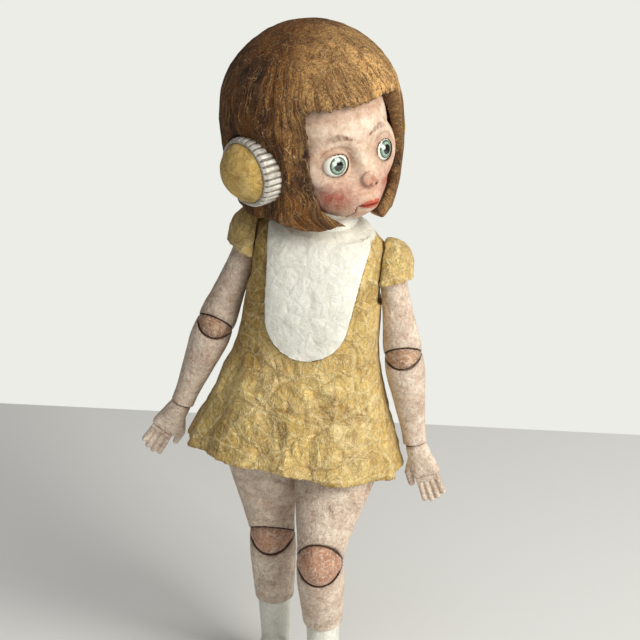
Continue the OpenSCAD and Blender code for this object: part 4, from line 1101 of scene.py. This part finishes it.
def ear_pod(s):
    ring = skin(f"ear_ring_{s}", 0.26)
    p = points(ring)
    q = HEAD.local(p)
    mid = (q.min(axis=0) + q.max(axis=0)) / 2
    formed, wide = pod_form(q, mid, s, False)
    place(ring, HEAD.world(formed))
    grooves = flutes(q[:, 1] - mid[1], q[:, 2] - mid[2]) * smooth(14.4, 15.0, wide)
    wear = smooth(0.0, 0.6, rough(p, 4.0, 5))
    # Painted shade in the gap where the ring meets the pad
    ring_pad_shade = smooth(13.9, 13.5, wide)
    layers = ["#d6d3cc", ("#5c5548", 0.85 * grooves), ("#a79f90", 0.45 * wear), ("#2b2118", 0.9 * ring_pad_shade)]
    store(ring, "tint", paint(layers, len(p)))
    keep(ring, silver_paint, f"ear_ring_{s}")
    pad = skin(f"ear_pad_{s}", 0.5, relax=2)
    p, n = points(pad), normals(pad)
    dented = p - n * (0.3 * (0.5 + 0.5 * rough(p, 6.0, 7)))[:, None]
    formed, wide = pod_form(HEAD.local(dented), mid, s, True)
    place(pad, HEAD.world(formed))
    layers = [
        "#e0c27a",
        ("#a38441", 0.6 * smooth(0.0, 0.6, rough(p, 8.0, 9))),
        ("#f0dca2", 0.45 * smooth(0.1, 0.6, rough(p, 6.0, 13))),
        # Painted shade round the pad's edge, where it sits in the ring
        ("#5f4720", 0.75 * smooth(11.8, 13.0, wide)),
    ]
    store(pad, "tint", paint(layers, len(p)))
    store(pad, "rim", no_line(p))
    keep(pad, pad_paper, f"ear_pad_{s}")


for s in SIDES:
    ear_pod(s)

# Elastic cords keep their CAD form; they show only in the slots of a bent joint
for name, slot in slots.items():
    if slot == "elastic":
        nodes[name].data.materials.clear()
        nodes[name].data.materials.append(elastic_cord)

# Stage, in metres: pale floor that ends behind the doll, pale room, soft daylight from the doll's left
FLOOR_WIDE, FLOOR_LONG, FLOOR_BACK = 8.0, 3.0, 0.37
AIM_AT = (0, 0, 0.2)


def floor():
    bm = bmesh.new()
    bmesh.ops.create_grid(bm, x_segments=1, y_segments=1, size=0.5)
    bmesh.ops.scale(bm, verts=bm.verts, vec=(FLOOR_WIDE, FLOOR_LONG, 1.0))
    bmesh.ops.translate(bm, verts=bm.verts, vec=(0, FLOOR_BACK - FLOOR_LONG / 2, 0))
    obj = new_object("floor", new_mesh("floor", bm))
    m, t, bsdf = material("matt paper sweep", 0.9, specular=0.1)
    co = add(t, "TexCoord")["Object"]
    n = add(t, "TexNoise", Vector=co, Scale=1.5, Detail=2.0)["Fac"]
    colour = add(t, "Mix", LAY, i0=n, i6="#eef1f2", i7="#f4f7f8")[2]
    t.links.new(colour, bsdf.inputs["Base Color"])
    obj.data.materials.append(m)
    return obj


def lamp(name, spot, size, power, code):
    data = bpy.data.lights.new(name, "AREA")
    data.shape = "SQUARE"
    data.size = size
    data.energy = power
    data.color = linear(code)
    obj = new_object(name, data)
    obj.location = spot
    obj.rotation_euler = (Vector(AIM_AT) - Vector(spot)).to_track_quat("-Z", "Y").to_euler()
    return obj


def room():
    """Faint warm light from all round; the camera sees a pale wall in its place."""
    world = bpy.data.worlds.new("room")
    world.use_nodes = True
    t = world.node_tree
    back = t.nodes["Background"]
    back.inputs["Color"].default_value = (1.0, 0.95, 0.87, 1)
    back.inputs["Strength"].default_value = 0.21
    wall = add(t, "Background", Color="#ecede7", Strength=1.0)[0]
    seen = add(t, "LightPath")["Is Camera Ray"]
    both = add(t, "MixShader", i0=seen, i1=back.outputs[0], i2=wall)[0]
    t.links.new(both, t.nodes["World Output"].inputs["Surface"])
    bpy.context.scene.world = world


window = lamp("window", (1.2, -0.75, 0.95), 0.9, 27.0, "#fffaf0")
sky = lamp("sky", (0.3, -0.5, 1.6), 1.2, 4.5, "#f8faff")
room()
floor()

# Camera at the photograph's angle, in the body's own axes: distance in millimetres, focal length in pixels
AZ, EL, ROLL = math.radians(6), math.radians(20), math.radians(7.5)
FAR, FOCAL, IMAGE, SENSOR = 750, 1500, 640, 36
SHIFT = (12, 25)
AIM = np.array((0, 0, 45))


def photo_camera():
    behind = np.array([math.sin(AZ) * math.cos(EL), -math.cos(AZ) * math.cos(EL), math.sin(EL)])
    level = unit(np.cross(-behind, (0, 0, 1)))
    upward = np.cross(level, -behind)
    right = level * math.cos(ROLL) + upward * math.sin(ROLL)
    up = upward * math.cos(ROLL) - level * math.sin(ROLL)
    view = np.stack([BODY.turn @ right, BODY.turn @ up, BODY.turn @ behind], axis=1)
    spot = BODY.world(AIM + behind * FAR) * MM
    cam = bpy.data.cameras.new("photo_camera")
    cam.sensor_width = SENSOR
    cam.lens = FOCAL / IMAGE * SENSOR
    cam.shift_x, cam.shift_y = SHIFT[0] / IMAGE, SHIFT[1] / IMAGE
    camera = new_object("photo_camera", cam)
    camera.matrix_world = Matrix.Translation(spot) @ Matrix(view.tolist()).to_4x4()
    bpy.context.scene.camera = camera


photo_camera()
bpy.context.scene.view_settings.view_transform = "Standard"
